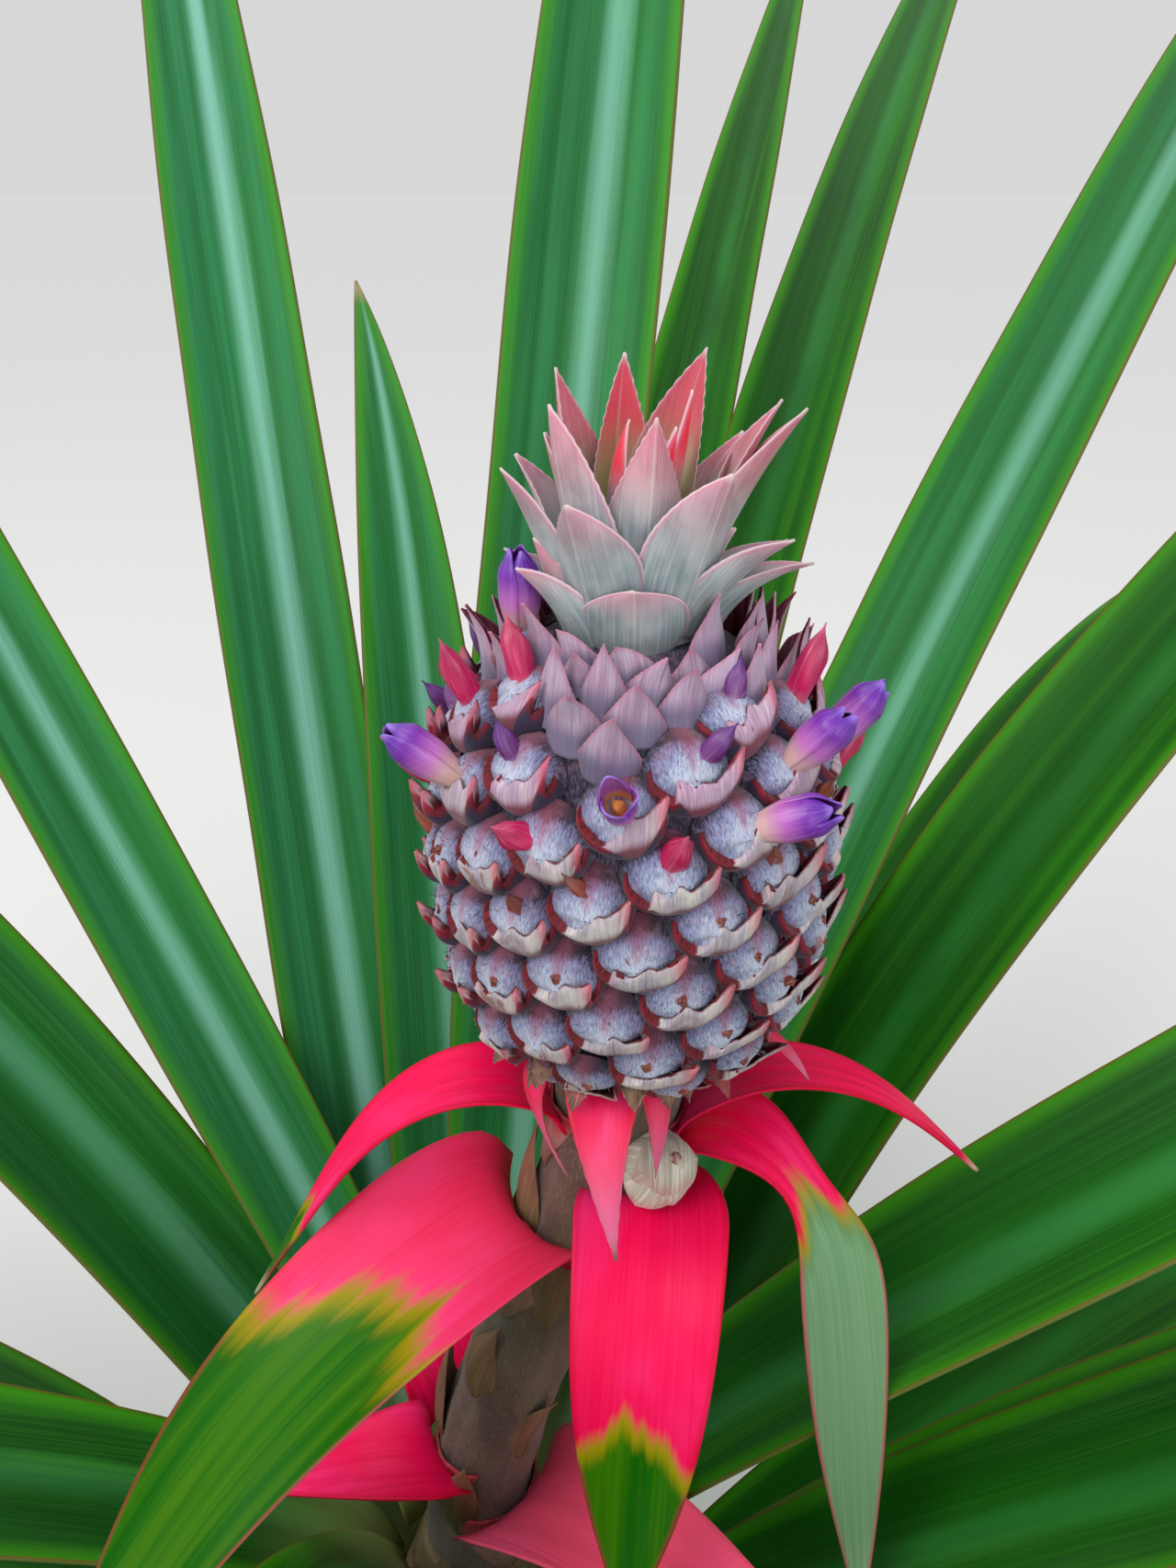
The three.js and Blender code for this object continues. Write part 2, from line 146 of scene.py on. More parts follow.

# Leaves of the stalk. green: how far along the red turns to green, as a share of the length.
# grey: how much of the green is grey with wax. pale_and_lit: how pale the red is, partly the leaf's
# own salmon colour and partly painted light that brightens a leaf sitting in shade. slant: how much
# sooner the green starts on one side. base, neck: how wide the leaf is at its foot, and how much
# narrower where it bends.
STALK_LEAF_RULE = dict(turn=0, twist=0, sheath=9, taper=1.3, base=0.8, neck=0, pale_and_lit=0, grey=0, slant=0)
STALK_LEAVES = [
    dict(name="low_front", z=228, azimuth=312, turn=10, rise=42, droop=50, fall=62, sway=-4,
         length=120, width=44, twist=10, green=1.4, pale_and_lit=0.35),
    dict(name="low_back", z=240, azimuth=130, rise=30, droop=60, fall=50, sway=8,
         length=52, width=28, green=0.7),
    dict(name="low_left", z=245, azimuth=215, turn=-30, rise=-10, droop=60, fall=53, sway=-16,
         length=56, width=29, green=1.4),
    dict(name="left", z=326, azimuth=216, turn=6, rise=-6, droop=50, fall=70, sway=-24, sheath=6,
         length=186, width=50, twist=8, taper=1.9, base=0.95, green=0.25, pale_and_lit=0.12, slant=0.06),
    dict(name="back", z=318, azimuth=72, rise=45, droop=30, fall=60, sway=-4,
         length=75, width=28, green=0.6),
    dict(name="front", z=341, azimuth=306, turn=-40, rise=-6, droop=76, fall=36, sway=-12, sheath=5,
         length=104, width=33, taper=1.9, green=0.55),
    dict(name="right", z=343, azimuth=357, turn=-34, rise=37, droop=117, fall=34, sway=-10,
         length=165, width=23, twist=60, taper=2.4, neck=0.52, green=0.29, grey=1),
    dict(name="upper_back", z=348, azimuth=120, rise=16, droop=80, fall=50, sway=-6,
         length=80, width=24, green=1.2),
    dict(name="upper_left", z=360, azimuth=196, turn=-6, rise=17, droop=77, fall=33, sway=-3,
         length=98, width=21, green=0.74),
    dict(name="upper_right", z=357, azimuth=352, turn=7, rise=24, droop=74, fall=38, sway=2,
         length=81, width=19, green=1.3),
]
STALK_LEAF_THICK = 2.6

# Small bracts under the fruit: foot, tip, width.
SMALL_BRACTS = [
    ((35, -13, 384), (35, -43, 362), 19.0),
    ((41, -15, 384), (42.5, -29, 367), 9.0),
    ((25, -11, 381), (26, -22, 360), 8.0),
    ((56, -7, 385), (72, -16, 379), 8.0),
    ((20, 5, 385), (3, 12, 377), 9.0),
    ((38, 16, 384), (40, 38, 366), 10.0),
    ((55, 8, 384), (70, 22, 372), 8.0),
]

# Crown leaves: azimuth, radius and height of the foot, then the tip's x, y and height, the width,
# and how red the leaf is.
CROWN_LEAVES = [
    (267, 12.6, -1.0, -1.1, -16.6, 11.2, 19.0, 0.0),
    (236, 12.0, 3.0, -11.4, -14.6, 23.6, 18.5, 0.0),
    (303, 12.0, 4.0, 13.3, -12.6, 27.6, 18.5, 0.05),
    (276, 8.0, 10.0, 2.2, -6.5, 34.6, 15.0, 0.25),
    (218, 10.0, 7.0, -13.9, -3.6, 36.0, 15.0, 0.15),
    (148, 8.5, 8.0, -13.0, 3.0, 40.3, 15.0, 0.4),
    (112, 6.5, 11.0, -2.3, 7.0, 42.0, 13.5, 0.75),
    (58, 6.5, 11.0, 10.4, 6.0, 42.8, 15.5, 0.6),
    (345, 10.0, 6.0, 25.4, -1.4, 35.0, 15.5, 0.35),
    (8, 9.5, 7.0, 22.0, 2.0, 35.8, 12.5, 0.3),
    (194, 12.0, 4.0, -21.5, -3.4, 26.6, 13.0, 0.05),
    (322, 12.6, 1.0, 23.7, -9.4, 17.0, 13.5, 0.0),
    (343, 12.8, -1.0, 28.0, -4.4, 11.8, 13.0, 0.0),
    (218, 12.8, -1.0, -19.4, -7.0, 11.8, 13.0, 0.0),
    (200, 12.4, 1.0, -16.6, -3.8, 15.8, 12.0, 0.2),
    (150, 12.0, 4.0, -20.0, 9.5, 26.0, 13.5, 0.05),
    (130, 12.6, -1.0, -17.0, 16.0, 12.0, 14.0, 0.0),
    (170, 12.6, -1.0, -22.0, 5.0, 11.5, 13.0, 0.0),
    (96, 12.0, 3.0, -1.5, 18.0, 22.5, 16.0, 0.0),
    (66, 12.0, 3.5, 9.5, 16.5, 25.5, 15.0, 0.05),
    (35, 12.0, 4.0, 20.0, 10.0, 29.0, 14.0, 0.1),
    (12, 12.6, -1.0, 25.5, 6.5, 12.5, 13.0, 0.0),
    (80, 12.8, -1.0, 4.0, 21.0, 10.5, 15.0, 0.0),
    (45, 12.8, -1.0, 18.0, 17.0, 11.5, 14.0, 0.0),
    (125, 8.5, 7.5, -8.5, 13.0, 27.5, 13.0, 0.2),
    (78, 8.0, 9.0, 3.5, 13.5, 30.0, 13.5, 0.3),
    (165, 9.0, 8.5, -15.0, 6.5, 30.0, 12.0, 0.25),
    (25, 8.5, 9.0, 17.0, 7.5, 30.0, 12.5, 0.3),
    (352, 3.6, 14.0, 7.9, 0.8, 37.4, 8.0, 1.0),
    (318, 3.2, 14.0, 5.4, -2.8, 32.6, 7.0, 1.0),
    (190, 3.4, 14.0, -1.5, 1.0, 33.0, 8.0, 0.95),
    (90, 2.4, 15.0, 2.5, 2.0, 31.0, 7.0, 0.95),
    (250, 2.2, 15.0, 0.0, -2.0, 29.0, 5.5, 1.0),
]
CROWN_SHAPE = dict(rows=34, cols=15, cup=1.1, teeth=0.22, thick=0.8, base=0.84, taper=1.45, knee=0.52,
                   widest=0.36, crease=0.06, wave=0.012)
# The three broad leaves at the front differ from that shape.
BROAD_LEAVES = [
    dict(taper=2.1, cup=0.8, widest=0.42, teeth=0.1, base=0.75),
    dict(taper=2.0, cup=1.0, widest=0.42, teeth=0.12),
    dict(taper=2.0, cup=1.0, widest=0.42, teeth=0.12),
]


# Small helpers.


def vary(i, k):
    """Steady noise in -1..1 for item i and property k."""
    s = math.sin(i * 12.9898 + k * 78.233) * 43758.5453
    return 2 * (s - math.floor(s)) - 1


def tone_of(i, k):
    """The same noise in 0..1, as the tone of a leaf or bract."""
    return 0.5 + 0.5 * vary(i, k)


def lerp(a, b, u):
    return a + (b - a) * u


def smooth(x, low, high):
    """A soft step from 0 at low to 1 at high."""
    u = np.clip((x - low) / (high - low), 0, 1)
    return u * u * (3 - 2 * u)


def hill(x, middle, width):
    """A bell curve of height 1."""
    return np.exp(-(((x - middle) / width) ** 2))


def along(pairs, x):
    """The value at x along a list of (x, value) pairs."""
    xs, ys = zip(*pairs)
    return np.interp(x, xs, ys)


def unit(v):
    return v / np.linalg.norm(v)


def xyz(x, y, z):
    """Points or vectors from three arrays that fit together."""
    return np.stack(np.broadcast_arrays(x, y, z), -1)


def column(start, end, count):
    return np.linspace(start, end, count)[:, None]


def row(start, end, count):
    return np.linspace(start, end, count)[None, :]


def turns(sides):
    """A row of angles once around."""
    return np.linspace(0, 2 * math.pi, sides, endpoint=False)[None, :]


def around(azimuth):
    """The outward and sideways directions at an azimuth in degrees."""
    a = math.radians(azimuth)
    return np.array([math.cos(a), math.sin(a), 0.0]), np.array([-math.sin(a), math.cos(a), 0.0])


def circle(u, v, angle):
    """Directions at an angle between the directions u and v."""
    return u * np.cos(angle)[..., None] + v * np.sin(angle)[..., None]


def rings(x, radius, angle, z):
    """Points around an upright axis that stands at x."""
    return xyz(x + radius * np.cos(angle), radius * np.sin(angle), z)


def capped(z, radius):
    """Heights and radii of rings, with a nearly closed one added at each end."""
    end = np.full_like(radius[:1], 0.5)
    return np.vstack([z[:1], z, z[-1:]]), np.vstack([end, radius, end])


def curve_through(points, parts=2):
    """A smooth curve through points, with each span cut into that many parts."""
    p = np.vstack([2 * points[0] - points[1], points, 2 * points[-1] - points[-2]])
    u = (np.arange(parts) / parts)[None, :, None]
    p0, p1, p2, p3 = (p[k:len(p) - 3 + k][:, None, :] for k in range(4))
    cubic = 3 * (p1 - p2) + p3 - p0
    curve = p1 + 0.5 * u * (p2 - p0 + u * (2 * p0 - 5 * p1 + 4 * p2 - p3 + u * cubic))
    return np.vstack([curve.reshape(-1, 3), points[-1:]])


def grid_faces(rows, cols, closed=False):
    """Quads of a grid of points, row by row. A closed grid joins its last column to its first."""
    index = np.arange(rows * cols).reshape(rows, cols)
    if closed:
        index = np.hstack([index, index[:, :1]])
    a, b = index[:-1, :-1], index[:-1, 1:]
    c, d = index[1:, 1:], index[1:, :-1]
    return np.stack([a, b, c, d], -1).reshape(-1, 4)


class Pile:
    """Meshes that are gathered into one piece. A field is a value that is kept at each point."""

    def __init__(self):
        self.points = []
        self.faces = []
        self.fields = {}
        self.count = 0

    def add(self, points, faces, **fields):
        points = np.reshape(points, (-1, 3))
        self.points.append(points)
        self.faces.append(np.asarray(faces) + self.count)
        self.count += len(points)
        for name, value in fields.items():
            width = 3 if name == "grain" else 1
            values = np.broadcast_to(np.reshape(value, (-1, width)), (len(points), width))
            self.fields.setdefault(name, []).append(values)

    def add_tube(self, points, grain, **fields):
        """Rings of points. grain: where its pattern is at each point, in millimetres."""
        grid = points.shape[:2]
        fields = {name: np.broadcast_to(value, grid) for name, value in fields.items()}
        self.add(points, grid_faces(*grid, True), grain=grain * MM, **fields)

    def add_shell(self, top, bottom, grain, **fields):
        """The closed shell between two grids. A field may be a pair, for the top and the bottom."""
        rows, cols = top.shape[:2]
        half = rows * cols
        index = np.arange(half).reshape(rows, cols)
        rim = np.concatenate([index[0, :], index[1:, -1], index[-1, -2::-1], index[-2:0:-1, 0]])
        after = np.roll(rim, -1)
        side = np.stack([rim, after, after + half, rim + half], -1)
        faces = grid_faces(rows, cols)
        faces = np.concatenate([faces, faces[:, ::-1] + half, side])
        for name, value in fields.items():
            pair = value if isinstance(value, tuple) else (value, value)
            fields[name] = [np.broadcast_to(part, (rows, cols)) for part in pair]
        self.add([top, bottom], faces, grain=[grain * MM, grain * MM], **fields)

    def piece(self, name, material, slot, *nodes):
        mesh = bpy.data.meshes.new(name)
        faces = np.concatenate(self.faces).tolist()
        mesh.from_pydata((np.concatenate(self.points) * MM).tolist(), [], faces)
        tidy = bmesh.new()
        tidy.from_mesh(mesh)
        bmesh.ops.recalc_face_normals(tidy, faces=tidy.faces)
        tidy.to_mesh(mesh)
        tidy.free()
        mesh.polygons.foreach_set("use_smooth", [True] * len(mesh.polygons))
        for field, values in self.fields.items():
            values = np.concatenate(values)
            kind = "FLOAT_VECTOR" if values.shape[1] == 3 else "FLOAT"
            entry = "vector" if kind == "FLOAT_VECTOR" else "value"
            attribute = mesh.attributes.new(field, kind, "POINT")
            attribute.data.foreach_set(entry, values.ravel())
        mesh.update()
        obj = bpy.data.objects.new(name, mesh)
        bpy.context.scene.collection.objects.link(obj)
        mesh.materials.append(material)
        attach(obj, "root")
        if nodes:
            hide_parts(*nodes)


# Blades: the long leaves of the rosette and of the stalk.


def blade_width(t):
    """How wide a rosette blade is at t along it, as a share of its full width."""
    low = 0.55 + 0.45 * np.sin(np.clip(t / 0.3, 0, 1) * math.pi / 2)
    return np.where(t < 0.3, low, 1 - 0.97 * np.clip((t - 0.42) / 0.58, 0, 1) ** 1.9)


def bract_width(t, leaf):
    """The same for a leaf of the stalk, which is widest near its foot."""
    share = lerp(leaf["base"], 1, smooth(t, 0, 0.15)) * (1 - 0.97 * t ** leaf["taper"])
    return share * (1 - leaf["neck"] * hill(t, 0.24, 0.09))


def blade_way(azimuth, leaf, t):
    """The heading of a blade at t and its azimuth there, in radians."""
    near = np.exp(-t * leaf["length"] / leaf["sheath"])
    fall = leaf.get("fall")
    bent = 1 - hill(t * leaf["length"], 0, fall) if fall else t ** 1.6
    slope = np.radians(leaf["rise"] + (LEAF_STAND - leaf["rise"]) * near - leaf["droop"] * bent)
    turn = np.radians(azimuth + leaf["turn"] * (1 - near) + leaf["sway"] * t)
    return xyz(np.cos(slope) * np.cos(turn), np.cos(slope) * np.sin(turn), np.sin(slope)), turn


def blade_path(foot, azimuth, leaf, steps):
    """How far along a blade its places are, the places, and their sides and inner normals."""
    count = steps * 4
    way, _ = blade_way(azimuth, leaf, np.arange(count) / count)
    at = curve_through(np.vstack([foot, foot + np.cumsum(way, 0) * leaf["length"] / count]))
    t = np.arange(len(at)) / (len(at) - 1)
    way, turn = blade_way(azimuth, leaf, t)
    side = xyz(-np.sin(turn), np.cos(turn), 0)
    roll = np.radians(leaf["twist"] * t)[:, None]
    across = side * np.cos(roll) + np.cross(way, side) * np.sin(roll)
    return t[:, None], at[:, None], across[:, None], np.cross(way, across)[:, None]


def blade_mesh(pile, foot, azimuth, leaf, steps, columns, curl, thick, margin, ridges, ripple, relief,
               seed, bloom=0):
    """Adds a blade: a channel with a thick middle, thin margins, long ridges and slow waves."""
    t, at, across, inward = blade_path(foot, azimuth, leaf, steps)
    far = t * leaf["length"]
    s = lerp(np.sin(row(-math.pi / 2, math.pi / 2, columns)), row(-1, 1, columns), 0.5)
    share = bract_width(t, leaf) if "taper" in leaf else blade_width(t)
    half_width = leaf["width"] * share / 2
    body = np.maximum(1 - np.abs(s) ** 2.2, 0) * lerp(0.7, 1, smooth(t, 0, 0.16)) * (1 - 0.75 * t ** 3)
    half = margin / 2 + (thick - margin) / 2 * body
    folds = np.cos(ridges * math.pi * s + 1.3 * vary(seed, 12))
    wave = np.sin(far / 61 + 5 * vary(seed, 13)) * s ** 2 * smooth(t, 0.1, 0.4)
    raised = relief * (body * folds + 1.1 * wave)
    rippled = 1 + ripple * np.sin(far / 23 + 3 * vary(seed, 11)) * smooth(t, 0.1, 0.3)
    angle = half_width * rippled / curl * s

    def surface(h):
        reach = (curl - h) * np.sin(angle)
        lift = curl - (curl - h) * np.cos(angle)
        return at + across * reach[..., None] + inward * lift[..., None]

    pile.add_shell(
        surface(raised + half), surface(raised - half), xyz(half_width * s, far, 400.0 * vary(seed, 14)),
        across=s, along=t, edge=half_width * (1 - np.abs(s)), face=(1, 0), tone=tone_of(seed, 15),
        bloom=bloom,
    )


def rosette_leaf(i):
    """Rosette leaf i with the rule's values or its own."""
    if i in OWN_LEAVES:
        return dict(zip(LEAF_KEYS, OWN_LEAVES[i]))
    u = i / (LEAVES - 1)
    return dict(
        turn=0, rise=14 + 50 * u + 1.5 * vary(i, 1), droop=30 - 8 * u + 5 * vary(i, 2), sway=7 * vary(i, 3),
        length=590 + 150 * math.sin(math.pi * (0.1 + 0.7 * u)) + 30 * vary(i, 4),
        width=46 + 3 * vary(i, 5), twist=7 * vary(i, 6), sheath=42,
    )


def add_rosette(material):
    for i in range(LEAVES):
        if i == LOST_LEAF:
            continue
        z = lerp(LEAF_LOW, LEAF_HIGH, i / (LEAVES - 1))
        azimuth = LEAF_START - GOLDEN * i
        foot = around(azimuth)[0] * (along(STEM, z) + LEAF_FOOT_THICK / 4 + 2 * GAP) + UP * z
        pile = Pile()
        blade_mesh(pile, foot, azimuth, rosette_leaf(i), steps=12, columns=17, curl=40.0, thick=3.4,
                   margin=0.8, ridges=5, ripple=0.012, relief=0.35, seed=i,
                   bloom=BLOOM_AND_HIGHLIGHT_LEAVES.get(i, 0.07 * i / LEAVES))
        name = f"leaf_{i + 1:02d}"
        pile.piece("green_" + name, material, "rosette_leaf", name)


# Stalk: where its axis is, and how thick it is, at a height.


def stalk_x(z):
    return STALK_LEAN * smooth(z, STALK_LOW, STALK_HIGH)


def stalk_radius(z):
    u = (z - STALK_LOW) / (STALK_HIGH - STALK_LOW)
    return STALK_RADIUS + 1.5 * (1 - u) ** 4 + 1.2 * u ** 6


def beside_stalk(z, out, gap):
    """A place beside the stalk, at a gap from its surface."""
    return xyz(stalk_x(z), 0, z) + out * (stalk_radius(z) + gap)


def add_stalk_leaves():
    for k, values in enumerate(STALK_LEAVES):
        leaf = {**STALK_LEAF_RULE, **values}
        out, _ = around(leaf["azimuth"])
        foot = beside_stalk(leaf["z"], out, STALK_LEAF_THICK / 4 + 2.6 * GAP)
        pile = Pile()
        blade_mesh(pile, foot, leaf["azimuth"], leaf, steps=8, columns=19, curl=28.0, thick=1.5, margin=0.5,
                   ridges=4, ripple=0.02, relief=0.22, seed=60 + k)
        name = "stalk_leaf_" + leaf["name"]
        pile.piece("red_" + name, stalk_leaf_material(name, leaf), "stalk_leaf", name)


# Short leaves: those of the crown, the bracts and the scales of the shoot.


def short_leaf(pile, foot, tip, heading, side, width, tone, rows=26, cols=13, cup=1.0, teeth=0.0, thick=0.5,
               base=0.8, taper=1.5, knee=0.5, widest=0.35, crease=0.05, wave=0.02, **fields):
    """Adds a short pointed leaf from foot to tip. knee: how far it first goes along heading, and
    widest: where it is widest, both as shares of its length."""
    t, s = column(0, 1, rows), row(-1, 1, cols)
    foot, tip = np.array(foot, float), np.array(tip, float)
    reach = np.linalg.norm(tip - foot)
    bend = foot + unit(heading) * reach * knee
    at = (1 - t) ** 2 * foot + 2 * t * (1 - t) * bend + t ** 2 * tip
    way = 2 * (1 - t) * (bend - foot) + 2 * t * (tip - bend)
    way /= np.linalg.norm(way, axis=1)[:, None]
    across = side - way * (way @ side)[:, None]
    across /= np.linalg.norm(across, axis=1)[:, None]
    inner = np.cross(way, across)
    low = lerp(base, 1, np.sin(np.clip(t / widest, 0, 1) * math.pi / 2))
    high = 1 - np.clip((t - widest) / (1 - widest), 0, 1) ** taper
    wide = width / 2 * np.maximum(np.where(t < widest, low, high), 0.03)
    odd = (np.arange(rows) % 2)[:, None]
    tooth = teeth * odd * smooth(t, 0.05, 0.2) * smooth(1 - t, 0.0, 0.1) * np.sign(s) * (np.abs(s) > 0.99)
    over = wide * np.sin(cup * s) / cup + tooth
    lift = wide * (1 - np.cos(cup * s)) / cup - crease * hill(s, 0, 0.12) * wide
    lift = lift + wave * width * np.sin(9 * t + 5 * tone) * s
    half = thick / 2 * (1 - 0.6 * s ** 2) * (1 - 0.5 * t)

    def surface(h):
        return at[:, None] + across[:, None] * over[..., None] + inner[:, None] * (lift + h)[..., None]

    pile.add_shell(surface(half), surface(-half), xyz(wide * s, t * reach, 37.0 * tone), along=t, across=s,
                   edge=wide * (1 - np.abs(s)), outer=(0, 1), tone=tone, **fields)


def add_crown(material):
    pile = Pile()
    axis = np.array([STALK_LEAN, 0, CROWN_LOW])
    z = column(0.1, 26.5, 24)
    core = rings(0, along(CROWN_CORE, z), turns(24), z)
    pile.add_tube(axis + core, core, along=0.1, across=0.5, edge=3.0, outer=1.0, tone=0.5, heart=0.3)
    for k, (azimuth, radius, height, x, y, top, width, heart) in enumerate(CROWN_LEAVES):
        out, side = around(azimuth)
        foot = axis + out * radius + UP * height
        shape = {**CROWN_SHAPE, **BROAD_LEAVES[k]} if k < len(BROAD_LEAVES) else CROWN_SHAPE
        short_leaf(pile, foot, axis + (x, y, top), out * 0.3 + UP, side, width, tone_of(k, 22), heart=heart,
                   **shape)
    pile.piece("crown_leaves", material, "crown_leaf", "crown")


# Fruit.


def fruit_heights():
    """Heights on the fruit that share its surface evenly, from the foot to the top."""
    cells = 400
    z = np.linspace(0, FRUIT_TOP, cells + 1)
    r = along(FRUIT, z)
    area = np.concatenate([[0], np.cumsum((r[1:] + r[:-1]) * np.hypot(np.diff(r), np.diff(z)))])
    shares = area[-1] * (np.arange(FRUITLETS) + 0.5) / FRUITLETS
    return FRUIT_TOP * (np.searchsorted(area, shares) - 0.5) / cells


def fruit_frame(i, azimuth, h):
    """A place on the fruit's body with its outward normal, side and upward tangent."""
    out, side = around(azimuth)
    flare = (along(FRUIT, h + 2) - along(FRUIT, h - 2)) / 4
    normal = unit(out - flare * UP)
    place = out * along(FRUIT, h) + np.array([STALK_LEAN, 0, FRUIT_LOW + h])
    size = FRUITLET_RADIUS * lerp(0.82, 1, smooth(h, 0, 14)) * lerp(1, 0.8, smooth(h, 66, 80))
    return dict(i=i, h=h, place=place, out=out, normal=normal, side=side,
                rise=np.cross(normal, side), size=float(size))


def local(f, x, y, z):
    """Points of a fruitlet's own frame: x aside, y up the fruit, z outwards."""
    return f["place"] + x[..., None] * f["side"] + y[..., None] * f["rise"] + z[..., None] * f["normal"]


def dome_height(rho, phi):
    """How far a fruitlet's dome stands out: three sepals that meet in the middle."""
    crease = 0
    for seam in (math.pi / 2, math.pi * 7 / 6, math.pi * 11 / 6):
        crease = crease + hill((phi - seam + math.pi) % (2 * math.pi), math.pi, 0.22)
    pillow = FRUITLET_DOME * np.maximum(1 - rho ** 3.2, 0) ** 0.6
    hub = 0.7 * hill(rho, 0, 0.2)
    return pillow * (1 - 0.17 * crease * rho ** 0.7 * (1 - rho ** 6)) + hub - 0.6, crease


def dome(pile, f):
    """The woolly pillow of a fruitlet."""
    i, size = f["i"], f["size"]
    rho, phi = column(1, 0.02, 11), turns(32)
    wide = size * 1.1 * (1 + 0.05 * np.cos(4 * phi) + 0.03 * vary(i, 31))
    height, crease = dome_height(rho, phi)
    height = height * (1 + 0.1 * vary(i, 32))
    x = wide * rho * np.cos(phi)
    y = wide * rho * np.sin(phi) * 0.97 + 0.16 * size * rho
    # crest paints light and shade: a pale highlight in the middle of the dome, falling to painted shade at
    # its rim and in the creases between the sepals.
    pile.add_tube(
        local(f, x, y, height), xyz(x, y, height) + 20 * vary(i, 33),
        crest=1 - rho ** 2.6 - 0.35 * crease * rho,
        seam=hill(phi, math.pi / 2, 0.3) * smooth(rho, 0.05, 0.3), up=y / size, tone=tone_of(i, 34),
    )


def bract(pile, f):
    """The papery bract under a fruitlet: a red-rimmed cup whose tip lies over the dome. a runs
    across it, b from its foot to its rim, and r over the red band outside the rim."""
    i, size, h = f["i"], f["size"], f["h"]
    low, band = 9, 5
    b = np.concatenate([np.linspace(0, 1, low), np.ones(band)])[:, None]
    r = np.concatenate([np.zeros(low), np.linspace(0.12, 1, band)])[:, None]
    a = row(-1, 1, 33)
    left, right = -0.26 + 0.12 * vary(i, 50), 0.5 + 0.08 * vary(i, 51)
    flap = smooth(a, left - 0.16, left + 0.4) * (1 - smooth(a, right, right + 0.14))
    inset = 0.4 * (1 - b)
    peak = smooth(a, left - 0.14 + inset, left + 0.04 + inset)
    peak = peak * (1 - smooth(a, right - inset, right + 0.14 - inset))
    tooth = np.clip(1 - np.abs(a - right - 0.02) / np.where(a < right, 0.22, 0.1), 0, 1) ** 1.25
    second = 0.5 * np.clip(1 - np.abs(a - left - 0.06) / 0.13, 0, 1) * (vary(i, 39) > 0.2)
    arch = hill(a, 0.1 + 0.12 * vary(i, 40), 0.15) * (0.26 + 0.2 * vary(i, 53))
    young = smooth(h, 2, 12)
    stand = 1.9 + 0.7 * vary(i, 42)
    angle = np.radians(104) * a
    x0 = 1.07 * size * np.sin(angle)
    y0 = -0.98 * size * np.cos(angle)
    tilt = 1 + 0.35 * vary(i, 54) * (a - 0.12)
    lift = ((0.52 + 0.12 * vary(i, 43)) * (1 - 0.4 * a ** 2) * tilt + arch) * flap * young
    points_up = (tooth + second) * young
    rim_x = x0 * (1 - 0.1 * flap) + 0.46 * size * (tooth - 0.7 * second)
    rim_y = y0 + size * (0.12 + 0.18 * (1 - a ** 2) + lift + 0.72 * points_up)
    rim_z = lerp(2.0, 4.1, 1 - np.abs(a) ** 2.6) + 1.0 * flap * young + stand * points_up
    x = x0 + (rim_x - x0) * b ** 1.5 + 0.05 * x0 * np.sin(math.pi * b)
    y = y0 + (rim_y - y0) * b ** lerp(1.3, 2.0, flap)
    z = -0.9 + (rim_z + 0.9) * np.sin(b * math.pi / 2) ** lerp(1.0, 0.7, flap)
    teeth = 0.5 * np.sin(61 * a + 9 * vary(i, 47)) + 0.5 * np.sin(37 * a + 5 * vary(i, 48))
    ragged = 0.2 * teeth * smooth(b, 0.8, 1) * (1 - r)
    swell = 1 + 0.25 * np.sin(3 * a + 3 * vary(i, 49))
    red = r * lerp(1.7, 0.1, flap) * (1 - 0.5 * a ** 2) * swell
    x = x - 0.5 * red * x0 / size
    y = y + ragged + 0.75 * red * (0.4 - y0 / size)
    z = z + ragged - 0.75 * red
    pile.add_shell(
        local(f, x, y, z), local(f, x * (1 - 0.4 / size), y + 0.3, z - 0.3),
        xyz(size * angle, b * 7 + r, 19.0 * vary(i, 44)), along=b, margin=r, inner=(0, 1), peak=peak,
        tooth=np.maximum(tooth, second) * smooth(b, 0.3, 1), grow=smooth(h, 50, 66),
        low=1 - smooth(h, 3, 14), tone=tone_of(i, 45),
    )


def silk_bracts(pile, frames, flowers):
    """The silky bracts that close over the top of the fruit, up to the crown's foot."""
    busy = [f["place"] for f in frames if f["i"] in flowers]
    front, _ = around(SILK_FRONT)
    for k in range(SILK_BRACTS):
        h = lerp(*SILK_HEIGHTS, (k / (SILK_BRACTS - 1)) ** 0.85)
        f = fruit_frame(k, 252 + GOLDEN * k, h)
        near = min(np.linalg.norm(f["place"] - place) for place in busy)
        if near < lerp(7.0, 4.0, smooth(h, 66, 72)):
            continue
        grow = smooth(h, 60, 75)
        foot = f["place"] + f["normal"] * lerp(1.2, 0.8, grow) - f["rise"] * 2.0
        lean = math.radians(lerp(74, 88, grow) + 10 * vary(k, 46))
        length = lerp(16.5, 11.5, grow) + 2.4 * vary(k, 147)
        if h > SILK_SHORT and np.dot(f["out"], front) > 0.7:
            length = lerp(9.5, 6.5, smooth(h, SILK_SHORT, 78))
        tip = foot + length * (math.cos(lean) * f["out"] + math.sin(lean) * UP)
        tip = tip + f["side"] * 2.4 * vary(k, 148)
        heading = f["rise"] + lerp(0.6, 0.75, grow) * f["normal"]
        short_leaf(pile, foot, tip, heading, f["side"], 11.6 + 2.4 * vary(k, 149), tone_of(k, 150), cols=15,
                   teeth=0.12, base=0.85, taper=1.0, crease=0.08, widest=0.28)


